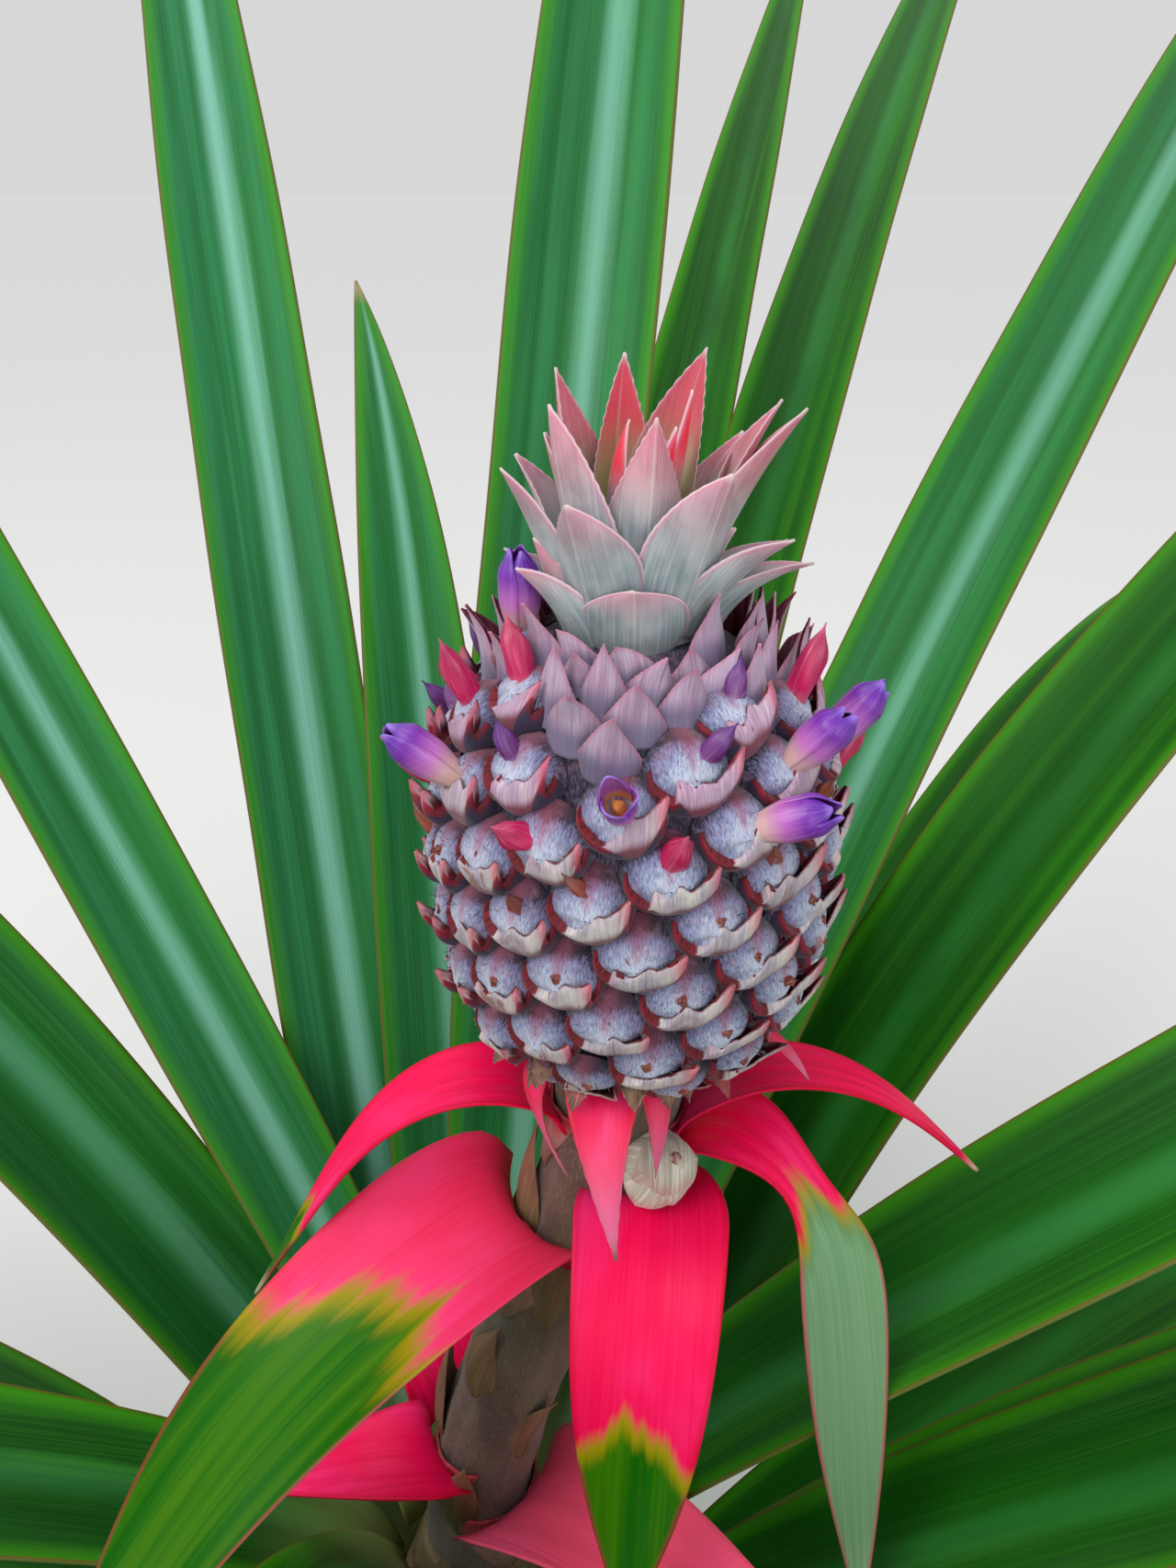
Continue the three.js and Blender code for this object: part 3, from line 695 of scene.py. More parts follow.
def foot_bracts(pile):
    """The small dry bracts under the lowest fruitlets."""
    for k in range(FOOT_BRACTS):
        u = k / (FOOT_BRACTS - 1)
        f = fruit_frame(k, 20 + GOLDEN * k, lerp(0.4, 4.5, u))
        foot = f["place"] - f["out"] * 0.5
        tip = foot + f["out"] * (7.5 + 1.8 * vary(k, 81)) + UP * (lerp(-5.5, -1.0, u) + vary(k, 82))
        short_leaf(pile, foot, tip, f["out"] + 0.3 * UP, f["side"], 8.0 + 1.2 * vary(k, 83), tone_of(k, 84),
                   rows=16, cup=0.9, teeth=0.3, base=0.9, taper=1.3, widest=0.25)


def flower_axes(f, swing, lift=FLOWER_LIFT):
    """A flower's axis and two directions square to it. swing and lift: how far it leans aside and up."""
    swing, lift = FLOWER_WAYS.get(f["i"], (swing, lift))
    axis = unit(f["normal"] + lift * f["rise"] + swing * f["side"])
    u = unit(f["side"] - axis * np.dot(f["side"], axis))
    return axis, u, np.cross(axis, u)


def open_flower(pile, f):
    """Three petals rolled into a tube, blunt and rounded at the mouth."""
    i = f["i"]
    axis, u, v = flower_axes(f, 0.12 * vary(i, 51))
    facing = float(i == FACING_FLOWER)
    t, s = column(0, 1, 26), row(-1, 1, 17)
    length = 15.2 + 0.9 * vary(i, 52) - 7.2 * facing
    half = np.radians(80) * np.sqrt(np.maximum(1 - np.clip((t - 0.62) / 0.4, 0, 1) ** 2.4, 0.012))
    half = half * (1 - 0.5 * facing * smooth(t, 0.6, 1))
    for k in range(3):
        angle = 2 * math.pi * k / 3 + 1.5 * vary(i, 53) + half * s
        close = lerp(-2.0, 0.4, facing) - 0.5 * (k == 0) * (1 - facing)
        radius = 1.9 + lerp(1.55, 0.9, facing) * smooth(t, 0, 0.5) + close * smooth(t, 0.72, 1.04)
        radius = radius + 0.16 * s + 0.05 * np.cos(4 * angle) * t - 0.2 * s ** 2 * smooth(t, 0.6, 1)
        high = 2.2 + length * t - 0.3 * s ** 2 * smooth(t, 0.8, 1) + 0.7 * vary(k + i, 55) * t
        ring = circle(u, v, angle)
        stem = f["place"] + axis * high[..., None]
        pile.add_shell(stem + ring * radius[..., None], stem + ring * (radius - 0.32)[..., None],
                       xyz(3 * s, length * t, k + i), along=t, across=s, facing=facing, outer=(1, 0),
                       tone=tone_of(i, 56))


def spindle(pile, f, length, thick, lobes, crook, start=2.4, seed=0, lift=FLOWER_LIFT, **fields):
    """A rolled or withered flower, the tip of a bud, or what stands inside an open flower."""
    axis, u, v = flower_axes(f, crook * 0.4, lift)
    t, angle = column(0, 1, 18), turns(20)
    swell = 0.55 + 0.45 * np.sin(math.pi * np.clip(0.1 + 0.9 * t, 0, 1))
    radius = np.maximum(thick * swell * (1 - smooth(t, 0.6, 1.02) ** 1.5), 0.1)
    radius = radius * (1 + lobes * (np.cos(3 * angle + 7.2 * t) + 0.5 * np.cos(7 * angle - 3 * t)))
    radius = radius + np.where(np.sin(angle + 3.2 * t) > 0.2, 0.12, 0) * thick * (1 - t)
    points = f["place"] + circle(u, v, angle) * radius[..., None] + axis * (start + length * t)[..., None]
    points = points + (crook * 2.2 * u + 0.6 * abs(crook) * v) * (t ** 2)[..., None]
    fields = {"outer": 1.0, "along": t, **fields}
    pile.add_tube(points, xyz(2 * angle, length * t, f["i"]), tone=tone_of(f["i"], 57 + seed),
                  across=np.cos(angle), **fields)


def add_fuzz(pile, f):
    """Fine hairs on the upper edge and the sides of a dome."""
    dice = random.Random(f["i"] * 7 + 5)
    for _ in range(FRUITLET_HAIRS):
        phi = dice.uniform(-0.35, math.pi + 0.35)
        rho = dice.uniform(0.5, 1.0)
        x = f["size"] * 1.03 * rho * math.cos(phi)
        y = f["size"] * 0.93 * rho * math.sin(phi) + 0.1 * f["size"]
        z = dome_height(rho, phi)[0] - 0.1
        root = f["place"] + x * f["side"] + y * f["rise"] + z * f["normal"]
        way = unit(f["normal"] * dice.uniform(0.5, 1.1) + f["rise"] * dice.uniform(0.1, 1.0)
                   + f["side"] * (0.5 * math.cos(phi) + dice.uniform(-0.4, 0.4)))
        length = dice.uniform(0.9, 2.0)
        u = unit(np.cross(way, UP + 0.01))
        v = np.cross(way, u)
        base = [root + 0.045 * (math.cos(c) * u + math.sin(c) * v) for c in (0, 2.094, 4.189)]
        bow = f["rise"] * dice.uniform(-0.25, 0.25)
        middle = [p + way * length * 0.55 + bow * 0.3 for p in base]
        end = root + way * length + bow
        points = base + middle + [end, end + 0.01 * u, end + 0.01 * v]
        faces = [(0, 1, 4, 3), (1, 2, 5, 4), (2, 0, 3, 5), (3, 4, 7, 6), (4, 5, 8, 7), (5, 3, 6, 8)]
        pile.add(points, faces, tone=dice.random(), up=y / f["size"])


def fruit_body(material):
    z = column(0.2, FRUIT_TOP - 0.2, 60)
    z, radius = capped(z, along(FRUIT, z) - 0.5)
    points = rings(STALK_LEAN, radius, turns(72), FRUIT_LOW + z)
    pile = Pile()
    # The low crest paints the body dark, standing in for the shade in the gaps between the fruitlets.
    pile.add_tube(points, points, crest=0.05, up=0.6, seam=0.0, tone=0.5)
    pile.piece("fruit_body", material, "fruit_skin", "fruit")


def add_fruit():
    frames = [fruit_frame(i, FRUITLET_START + GOLDEN * i, h) for i, h in enumerate(fruit_heights())]
    flowers = set(OPEN_FLOWERS) | set(ROLLED_FLOWERS) | set(BUDS)
    wool = fruitlet_material()
    fruit_body(wool)
    domes, bracts, tops, feet, hairs = (Pile() for _ in range(5))
    petals, rolled, buds, dried = (Pile() for _ in range(4))
    for f in frames:
        i, h = f["i"], f["h"]
        if h < FRUITLET_HEIGHTS[0] or (h > SILK_START and i not in flowers):
            continue
        if h < FRUITLET_HEIGHTS[1]:
            dome(domes, f)
            bract(bracts, f)
            add_fuzz(hairs, f)
        if i in OPEN_FLOWERS:
            open_flower(petals, f)
            facing = float(i == FACING_FLOWER)
            spindle(petals, f, 6.5, 1.1, 0.15, 0.3 * vary(i, 51), facing=facing, outer=0.0, along=0.3)
        elif i in ROLLED_FLOWERS:
            long = 8.0 if i in SHORT_FLOWERS else 13.8
            spindle(rolled, f, long + 1.5 * vary(i, 61), 2.2, 0.1, 0.6 * vary(i, 62))
        elif i in BUDS:
            spindle(buds, f, 10.8 + 1.4 * vary(i, 63), 1.75, 0.1, 1.1 * vary(i, 64), 1.8, 3, 0.9)
        elif i in DRIED_FLOWERS:
            spindle(dried, f, 8.5 + 2.5 * vary(i, 65), 1.15, 0.24, 1.3 * vary(i, 66), 2.4, 5, 1.3)
        elif h < WITHERED_TOP and vary(i, 70) > -0.3:
            spindle(dried, f, 1.7 + 0.7 * vary(i, 67), 0.75, 0.3, 0.5 * vary(i, 68), 3.8, 6)
    silk_bracts(tops, frames, flowers)
    foot_bracts(feet)
    domes.piece("fruitlets", wool, "fruit_skin", "fruit")
    feet.piece("foot_bracts", foot_bract_material(), "fruit_skin", "fruit")
    hairs.piece("fruit_hairs", hair_material(), "fruit_skin", "fruit")
    bracts.piece("bracts", bract_material(), "fruit_skin", "fruit")
    tops.piece("top_bracts", silk_material(), "fruit_skin", "fruit")
    petals.piece("open_flowers", petal_material("petal_open", PETAL_OPEN, True), "fruit_skin", "fruit")
    rolled.piece("rolled_flowers", petal_material("petal_rolled", PETAL_ROLLED), "fruit_skin", "fruit")
    buds.piece("flower_buds", petal_material("petal_bud", PETAL_BUD), "fruit_skin", "fruit")
    dried.piece("dried_flowers", petal_material("petal_dried", PETAL_DRIED), "fruit_skin", "fruit")


# Small bracts, stalk, shoot and stem.


def add_small_bracts(material):
    pile = Pile()
    for k, (foot, tip, width) in enumerate(SMALL_BRACTS):
        out = unit([foot[0] - STALK_LEAN, foot[1], 0])
        side = np.array([-out[1], out[0], 0])
        short_leaf(pile, foot, tip, out + 0.25 * UP, side, width, tone_of(k, 72), rows=28, cup=0.7,
                   teeth=0.12, thick=0.7, base=0.95, taper=1.2, knee=0.55, widest=0.12)
    pile.piece("small_bracts", material, "stalk_leaf")


def clasping_base(pile, k, leaf):
    """The base of a leaf of the stalk, which clasps it below the leaf's foot."""
    long = 24 + 6 * vary(k, 91)
    t, s = column(0, 1, 24), row(-1, 1, 25)
    z = leaf["z"] + 2 - long * t * (1 - 0.25 * s ** 2)
    spread = np.radians(leaf["width"] / 2 / STALK_RADIUS * 38 * lerp(1.0, 0.25, t ** 1.4))
    angle = math.radians(leaf["azimuth"]) + spread * s
    lift = (1.1 * (1 - s ** 2) + 0.2 + 0.14 * np.cos(9 * s)) * smooth(1 - t, 0.0, 0.25)
    radius = stalk_radius(z) + lift
    pile.add_shell(
        rings(stalk_x(z), radius + 0.35, angle, z), rings(stalk_x(z), radius - 0.4, angle, z),
        xyz(STALK_RADIUS * spread * s, long * t, 31.0 * vary(k, 92)),
        along=t, across=s, edge=3.0, outer=1.0, tone=tone_of(k, 93), dry=0.0,
    )


def dry_scale(pile, k):
    """A dry scale that stands up along the stalk."""
    z = lerp(222, 322, k / (DRY_SCALES - 1))
    out, side = around(250 + GOLDEN * k)
    foot = beside_stalk(z, out, -0.3)
    ahead = xyz(stalk_x(z + 30), 0, z + 30 + 8 * vary(k, 94))
    tip = ahead + out * (stalk_radius(z) + 3.5 + 1.5 * vary(k, 96)) + side * 3 * vary(k, 97)
    short_leaf(pile, foot, tip, UP + 0.15 * out, side, 15 + 3 * vary(k, 95), tone_of(k, 98), rows=24,
               cup=1.15, teeth=0.2, thick=0.6, base=0.9, taper=1.3, knee=0.45, widest=0.3, dry=1.0)


def add_leaf_bases(material):
    pile = Pile()
    for k, leaf in enumerate(STALK_LEAVES):
        clasping_base(pile, k, leaf)
    for k in range(DRY_SCALES):
        dry_scale(pile, k)
    pile.piece("leaf_bases", material, "stalk_skin")


def add_stalk(material):
    z, angle = column(STALK_LOW, STALK_HIGH, 120), turns(48)
    ribs = 0.3 * np.cos(9 * angle + z / 40) + 0.18 * np.cos(17 * angle - z / 23)
    knots = 0.35 * np.cos(z / 3.7) * np.cos(2 * angle + z / 15)
    points = rings(stalk_x(z), stalk_radius(z) + ribs + knots, angle, z)
    pile = Pile()
    pile.add_tube(points, points)
    pile.piece("stalk_skin", material, "stalk_skin", "stalk")


def add_shoot(material):
    """The young shoot: scales that overlap around a round core."""
    pile = Pile()
    centre = np.array(SHOOT_PLACE)
    axis = unit([0.25, -0.6, 0.9])
    aside = unit(np.cross(axis, [1.0, 0.2, 0]))
    third = np.cross(axis, aside)
    for k in range(SHOOT_SCALES):
        u = k / (SHOOT_SCALES - 1)
        a = np.radians(GOLDEN * k)
        out, side = circle(aside, third, a), circle(third, -aside, a)
        wide = SHOOT_RADIUS * lerp(1.0, 0.45, u)
        foot = centre + axis * lerp(-9.5, -1.0, u) + out * wide * 0.82
        tip = centre + axis * lerp(4.0, 10.0, u) + out * lerp(2.6, -1.2, u)
        short_leaf(pile, foot, tip, axis + 0.75 * out, side, wide * 2.1, tone_of(k, 71), rows=20, cup=1.25,
                   teeth=0.1, thick=0.8, taper=1.9, knee=0.62)
    v = column(-0.98, 0.98, 14)
    radius = SHOOT_RADIUS * 0.8 * np.sqrt(1 - v * v)
    core = centre + circle(aside, third, turns(20)) * radius[..., None] + axis * (v * 8.5)[..., None]
    pile.add_tube(core, core, along=0.4, across=0.5, edge=3.0, outer=1.0, tone=0.5)
    pile.piece("shoot", material, "stalk_skin", "stalk")


def add_stem(material):
    z, angle = column(0, STEM_TOP, 110), turns(72)
    scars = 0.8 * np.abs(np.sin(z / 7.5 + 0.7 * np.sin(2 * angle))) - 0.5 * np.cos(11 * angle + z / 9)
    radius = along(STEM, z) + scars * smooth(z, 0, 6) * smooth(STEM_TOP - z, 0, 20)
    z, radius = capped(z, radius)
    points = rings(0, radius, angle, z)
    pile = Pile()
    pile.add_tube(points, points)
    pile.piece("stem_bark", material, "stem_bark", "stem")


# Materials. A colour is given as 0 to 255 on a screen.


def rgb(red, green, blue):
    """A colour as the linear light that the shader mixes."""
    shares = (c / 255 for c in (red, green, blue))
    return tuple(c / 12.92 if c < 0.04045 else ((c + 0.055) / 1.055) ** 2.4 for c in shares)


class Look:
    """A node material whose base colour is laid on in layers. A value is a number, a socket, or the
    name of a noise or of a field."""

    def __init__(self, name, roughness, base=None, **sockets):
        self.material = bpy.data.materials.new(name)
        self.material.use_nodes = True
        self.tree = self.material.node_tree
        self.tree.nodes.clear()
        self.shader = self.node("BsdfPrincipled")
        self.tree.links.new(self.shader.outputs[0], self.node("OutputMaterial").inputs[0])
        self.shader.inputs["Roughness"].default_value = roughness
        for socket, value in sockets.items():
            self.shader.inputs[socket.replace("_", " ")].default_value = value
        self.base = base
        self.named = {}

    def node(self, kind, **settings):
        node = self.tree.nodes.new("ShaderNode" + kind)
        for key, value in settings.items():
            setattr(node, key, value)
        return node

    def link(self, value, socket):
        if isinstance(value, str):
            if value not in self.named:
                self.named[value] = self.node("Attribute", attribute_name=value).outputs["Fac"]
            value = self.named[value]
        if isinstance(value, bpy.types.NodeSocket):
            self.tree.links.new(value, socket)
        elif isinstance(value, tuple):
            socket.default_value = (*rgb(*value), 1.0)
        else:
            socket.default_value = value

    def noise(self, name, scale, detail=3.0, rough=0.55):
        """Noise over the piece's grain, which is in metres. scale: how many features a metre."""
        stretch = self.node("Mapping")
        grain = self.node("Attribute", attribute_name="grain")
        self.tree.links.new(grain.outputs["Vector"], stretch.inputs["Vector"])
        stretch.inputs["Scale"].default_value = scale
        noise = self.node("TexNoise")
        self.tree.links.new(stretch.outputs[0], noise.inputs["Vector"])
        noise.inputs["Scale"].default_value = 1.0
        noise.inputs["Detail"].default_value = detail
        noise.inputs["Roughness"].default_value = rough
        self.named[name] = noise.outputs["Fac"]

    def math(self, operation, a, b=0.0):
        node = self.node("Math", operation=operation)
        self.link(a, node.inputs[0])
        self.link(b, node.inputs[1])
        return node.outputs[0]

    def times(self, a, b):
        return self.math("MULTIPLY", a, b)

    def add(self, a, b):
        return self.math("ADD", a, b)

    def less(self, a, b):
        return self.math("SUBTRACT", a, b)

    def step(self, value, low, high, most=1.0, least=0.0):
        """A soft step from least, where the value is low, to most, where it is high."""
        node = self.node("MapRange", interpolation_type="SMOOTHSTEP")
        for name, entry in zip(("Value", "From Min", "From Max", "To Min", "To Max"),
                               (value, low, high, least, most)):
            self.link(entry, node.inputs[name])
        return node.outputs[0]

    def mix(self, share, a, b):
        node = self.node("Mix", data_type="RGBA")
        self.link(share, node.inputs[0])
        self.link(a, node.inputs[6])
        self.link(b, node.inputs[7])
        return node.outputs[2]

    def blend(self, a, b, *step):
        """Colour a turning into b by a step."""
        return self.mix(self.step(*step), a, b)

    def layer(self, colour, share):
        """Lays a colour over the base by a share."""
        self.base = self.mix(share, self.base, colour)

    def paint(self, colour, *step):
        """Lays a colour over the base by a step."""
        self.layer(colour, self.step(*step))

    def ramp(self, value, stops):
        node = self.node("ValToRGB")
        self.link(value, node.inputs[0])
        ramp = node.color_ramp
        while len(ramp.elements) < len(stops):
            ramp.elements.new(0.5)
        for element, (place, colour) in zip(ramp.elements, stops):
            element.position = place
            element.color = (*rgb(*colour), 1.0)
        return node.outputs[0]

    def finish(self, height=None, strength=0.5, distance=0.0004, roughness=None):
        """Gives the shader its base colour, a bump and, if it varies, its roughness."""
        self.link(self.base, self.shader.inputs["Base Color"])
        if height is not None:
            bump = self.node("Bump")
            bump.inputs["Strength"].default_value = strength
            bump.inputs["Distance"].default_value = distance
            self.link(height, bump.inputs["Height"])
            self.tree.links.new(bump.outputs[0], self.shader.inputs["Normal"])
        if roughness is not None:
            self.link(roughness, self.shader.inputs["Roughness"])
        return self.material


LEAF_DEEP = (0, 52, 2)
LEAF_MID = (8, 92, 6)
LEAF_LIGHT = (62, 146, 14)
LEAF_RIB = (34, 126, 34)
LEAF_BLUE = (54, 138, 92)
# The next colour is a painted highlight, laid along the middle of a leaf's upper face.
LEAF_HIGHLIGHT_BAND = (150, 214, 200)
LEAF_RED = (120, 62, 40)
LEAF_FOOT = (165, 168, 108)
LEAF_DRY = (170, 150, 105)
LEAF_PALE = (92, 134, 84)


def leaf_material():
    look = Look("rosette_leaf", 0.42, LEAF_DEEP, Specular_IOR_Level=0.12)
    look.noise("lines", (1500, 7, 1), 5.0, 0.6)
    look.noise("streaks", (210, 5, 1))
    look.noise("clouds", (30, 9, 1))
    look.paint(LEAF_MID, "clouds", 0.3, 0.7)
    look.paint(LEAF_LIGHT, "streaks", 0.45, 0.75, 0.35)
    look.paint(LEAF_LIGHT, "lines", 0.4, 0.75, 0.22)
    look.layer(LEAF_LIGHT, look.times("tone", 0.22))
    # Painted shade: the blade darkens towards one margin, the side of its channel that lies in shade.
    look.paint(LEAF_DEEP, look.add("across", look.times("streaks", 0.2)), -0.25, 0.3, 0.4)
    look.layer(LEAF_BLUE, look.times("bloom", look.step("streaks", 0.3, 0.7, 0.75, 0.3)))
    aside = look.less(look.times("streaks", 0.3), 0.05)
    middle = look.math("ABSOLUTE", look.add("across", aside))
    rib = look.times(look.step(middle, 0.34, 0.04), look.step("clouds", 0.3, 0.65, 0.6, 0.1))
    look.layer(LEAF_RIB, look.times(rib, "face"))
    # Painted highlight: a pale band along the middle of the upper face, as strong as the leaf's bloom.
    band = look.times("bloom", look.step(middle, 0.3, 0.0, 0.6))
    look.layer(LEAF_HIGHLIGHT_BAND, look.times(band, "face"))
    look.paint(LEAF_LIGHT, "edge", 6.0, 1.0, 0.65)
    look.paint(LEAF_RED, "edge", 0.8, 0.2, 0.6)
    look.layer(LEAF_PALE, look.times(look.less(1.0, "face"), 0.4))
    look.paint(LEAF_FOOT, "along", 0.09, 0.0, 0.75)
    look.paint(LEAF_DRY, look.add("along", look.times("clouds", 0.05)), 0.985, 1.02)
    relief = look.add(look.times("lines", 0.6), "streaks")
    return look.finish(relief, 0.45, 0.0008, look.step("streaks", 0.3, 0.8, 0.5, 0.32))


STALK_RED = (240, 4, 78)
STALK_DEEP = (196, 4, 34)
STALK_PINK = (250, 48, 124)
STALK_SALMON = (255, 130, 160)
STALK_YELLOW = (150, 138, 4)
STALK_GREEN = (12, 92, 0)
STALK_OLIVE = (62, 116, 0)
STALK_GREY = (118, 160, 118)
STALK_TIP = (200, 205, 170)


def paint_red(look):
    """Lays streaks, clouds and dark margins over STALK_RED."""
    look.paint(STALK_PINK, "clouds", 0.4, 0.7)
    look.paint(STALK_PINK, "lines", 0.45, 0.8, 0.3)
    look.paint(STALK_DEEP, "lines", 0.5, 0.25, 0.35)
    look.paint(STALK_DEEP, "edge", 1.6, 0.3, 0.55)


def stalk_leaf_material(name, leaf):
    look = Look(name, 0.42, STALK_RED, Specular_IOR_Level=0.14)
    green = leaf["green"]
    look.noise("lines", (1300, 10, 1), 4.0, 0.6)
    look.noise("streaks", (230, 7, 1))
    look.noise("clouds", (40, 22, 1))
    paint_red(look)
    # Mixes in pale salmon: partly the leaf's own paler colour, partly painted light that brightens a leaf
    # sitting in shade.
    look.layer(STALK_SALMON, leaf["pale_and_lit"])
    blade = look.blend(STALK_GREEN, STALK_OLIVE, "streaks", 0.35, 0.7)
    blade = look.blend(blade, LEAF_LIGHT, "lines", 0.4, 0.8, 0.2)
    blade = look.blend(blade, (150, 50, 50), "edge", 1.2, 0.3, 0.7)
    ragged = look.add("along", look.times(look.less("streaks", 0.5), 0.17))
    ragged = look.add(ragged, look.step(look.math("ABSOLUTE", "across"), 0.9, 0.0, 0.05, -0.03))
    ragged = look.add(ragged, look.times("across", leaf["slant"]))
    look.paint(STALK_YELLOW, ragged, green - 0.05, green)
    look.paint(blade, ragged, green - 0.01, green + 0.04)
    grey = look.blend(STALK_GREY, (160, 190, 156), "lines", 0.4, 0.8, 0.5)
    grey = look.blend(grey, (190, 80, 100), "edge", 1.0, 0.2, 0.8)
    waxy = look.math("MAXIMUM", look.less(1.0, "face"), leaf["grey"])
    look.layer(grey, look.times(waxy, look.step(ragged, green - 0.03, green + 0.06, 0.9)))
    look.paint(STALK_TIP, "along", 0.9, 1.0, 0.7)
    relief = look.add(look.times("lines", 0.6), "streaks")
    return look.finish(relief, 0.4, 0.0007, look.step("streaks", 0.3, 0.8, 0.52, 0.36))


def small_bract_material():
    look = Look("small_bract", 0.5, STALK_RED, Sheen_Weight=0.15, Specular_IOR_Level=0.4)
    look.noise("lines", (1600, 40, 1), 4.0, 0.6)
    look.noise("clouds", (160, 80, 1))
    paint_red(look)
    look.paint((216, 116, 160), "along", 0.45, 1.0, 0.75)
    look.paint((150, 105, 90), "along", 0.9, 1.0, 0.7)
    return look.finish("lines", 0.4)


WOOL_GREY = (106, 104, 144)
WOOL_PINK = (164, 124, 148)
# Wool colours from painted shade, through grey and pale wool, to a painted highlight.
WOOL_SHADE_TO_HIGHLIGHT = [(0.0, (26, 22, 40)), (0.36, WOOL_GREY), (0.78, (148, 158, 196)), (1.0, (192, 200, 222))]


def fruitlet_material():
    look = Look("fruitlet_wool", 0.7, Sheen_Weight=0.3, Sheen_Roughness=0.5, Specular_IOR_Level=0.3)
    look.noise("fuzz", (4200, 900, 900), 3.0, 0.65)
    look.noise("blotch", (420, 420, 420))
    # Painted light and shade: crest and fuzz pick the wool colour from a dark rim to a pale highlight. The
    # top of each dome is darker, partly dark hairs and partly painted shade.
    height = look.add("crest", look.times(look.less("fuzz", 0.5), 1.7))
    look.base = look.ramp(look.less(height, look.step("up", 0.7, 1.25, 0.5)), WOOL_SHADE_TO_HIGHLIGHT)
    look.paint(WOOL_PINK, "blotch", 0.5, 0.72, 0.4)
    look.layer(WOOL_PINK, look.times("tone", 0.1))
    look.layer((172, 84, 112), look.times("seam", 0.5))
    return look.finish("fuzz", 0.7, 0.0005)


def hair_material():
    look = Look("fruit_hair", 0.6, (52, 40, 60), Specular_IOR_Level=0.4)
    look.paint((176, 172, 190), "tone", 0.45, 0.9)
    return look.finish()


BRACT_CREAM = (204, 194, 192)
BRACT_GREY = (168, 156, 170)
BRACT_MAUVE = (178, 144, 172)
BRACT_RED = (142, 12, 36)
BRACT_DARK = (64, 14, 20)
BRACT_BROWN = (130, 62, 34)


def bract_material():
    look = Look("bract_paper", 0.6, BRACT_CREAM, Sheen_Weight=0.2, Sheen_Roughness=0.4,
                Specular_IOR_Level=0.35)
    look.noise("hairs", (3200, 220, 60), 4.0, 0.6)
    look.noise("blotch", (330, 260, 60))
    look.paint(BRACT_GREY, "blotch", 0.3, 0.62)
    look.layer(BRACT_MAUVE, "grow")
    look.paint((228, 224, 220), "hairs", 0.45, 0.75, 0.5)
    look.paint(WOOL_GREY, "hairs", 0.47, 0.25, 0.6)
    look.paint((112, 20, 42), "along", 0.74, 0.5, 0.85)
    look.layer(BRACT_BROWN, look.times(look.step("blotch", 0.56, 0.66), look.step("tone", 0.4, 0.7, 0.75)))
    look.layer((150, 112, 88), look.times("low", look.step("blotch", 0.3, 0.6, 0.7, 0.2)))
    husk_and_shade = look.blend((96, 26, 40), (138, 20, 46), "blotch", 0.4, 0.6)
    # Painted shade: towards its foot the red husk turns dark lilac grey, the shade in the gaps between the
    # fruitlets.
    husk_and_shade = look.blend(husk_and_shade, (60, 52, 76), "along", 0.75, 0.45)
    look.paint(husk_and_shade, "peak", 0.5, 0.15)
    look.paint((202, 58, 86), "tooth", 0.2, 0.9, 0.75)
    red = look.blend(BRACT_DARK, BRACT_RED, "hairs", 0.35, 0.7)
    red = look.blend(red, (70, 14, 26), "margin", 0.45, 1.0, 0.6)
    band = look.times(look.step("margin", 0.02, 0.1), look.step("peak", 0.75, 0.3))
    look.layer(red, look.math("MAXIMUM", band, "inner"))
    return look.finish("hairs")


def foot_bract_material():
    look = Look("bract_dry", 0.65, (168, 138, 114), Sheen_Weight=0.15, Specular_IOR_Level=0.3)
    look.noise("hairs", (2600, 160, 60), 4.0, 0.6)
    look.noise("blotch", (300, 200, 60))
    look.paint((178, 66, 82), "tone", 0.4, 0.7)
    look.paint((120, 78, 62), "blotch", 0.45, 0.65)
    look.paint((206, 190, 172), "hairs", 0.45, 0.75, 0.5)
    look.paint((96, 56, 46), "along", 0.7, 1.0, 0.6)
    return look.finish("hairs")


def silk_material():
    look = Look("bract_silk", 0.5, BRACT_MAUVE, Sheen_Weight=0.3, Sheen_Roughness=0.35,
                Specular_IOR_Level=0.4)
    look.noise("hairs", (2600, 90, 60), 4.0, 0.6)
    look.noise("blotch", (260, 120, 60))
    look.paint((186, 162, 190), "blotch", 0.35, 0.7)
    look.paint((220, 208, 226), "hairs", 0.45, 0.75, 0.5)
    look.paint((110, 86, 118), "hairs", 0.5, 0.25, 0.5)
    look.paint((108, 104, 136), "along", 0.55, 0.25, 0.8)
    look.paint((190, 110, 140), "edge", 0.9, 0.1, 0.5)
    look.paint((186, 110, 136), "along", 0.8, 1.0, 0.5)
    inside = look.blend(BRACT_DARK, (150, 60, 84), "hairs", 0.35, 0.7)
    look.layer(inside, look.less(1.0, "outer"))
    return look.finish("hairs")


PETAL_OPEN = [(0.0, (206, 170, 146)), (0.26, (214, 168, 172)), (0.46, (186, 100, 186)),
              (0.7, (120, 34, 166)), (0.9, (92, 22, 160)), (1.0, (150, 110, 220))]
PETAL_ROLLED = [(0.0, (224, 120, 140)), (0.25, (206, 20, 92)), (0.85, (166, 10, 72)), (1.0, (214, 90, 130))]
PETAL_BUD = [(0.0, (206, 208, 222)), (0.35, (112, 46, 120)), (1.0, (80, 22, 118))]
PETAL_DRIED = [(0.0, (120, 54, 34)), (0.5, (150, 66, 40)), (1.0, (98, 58, 44))]


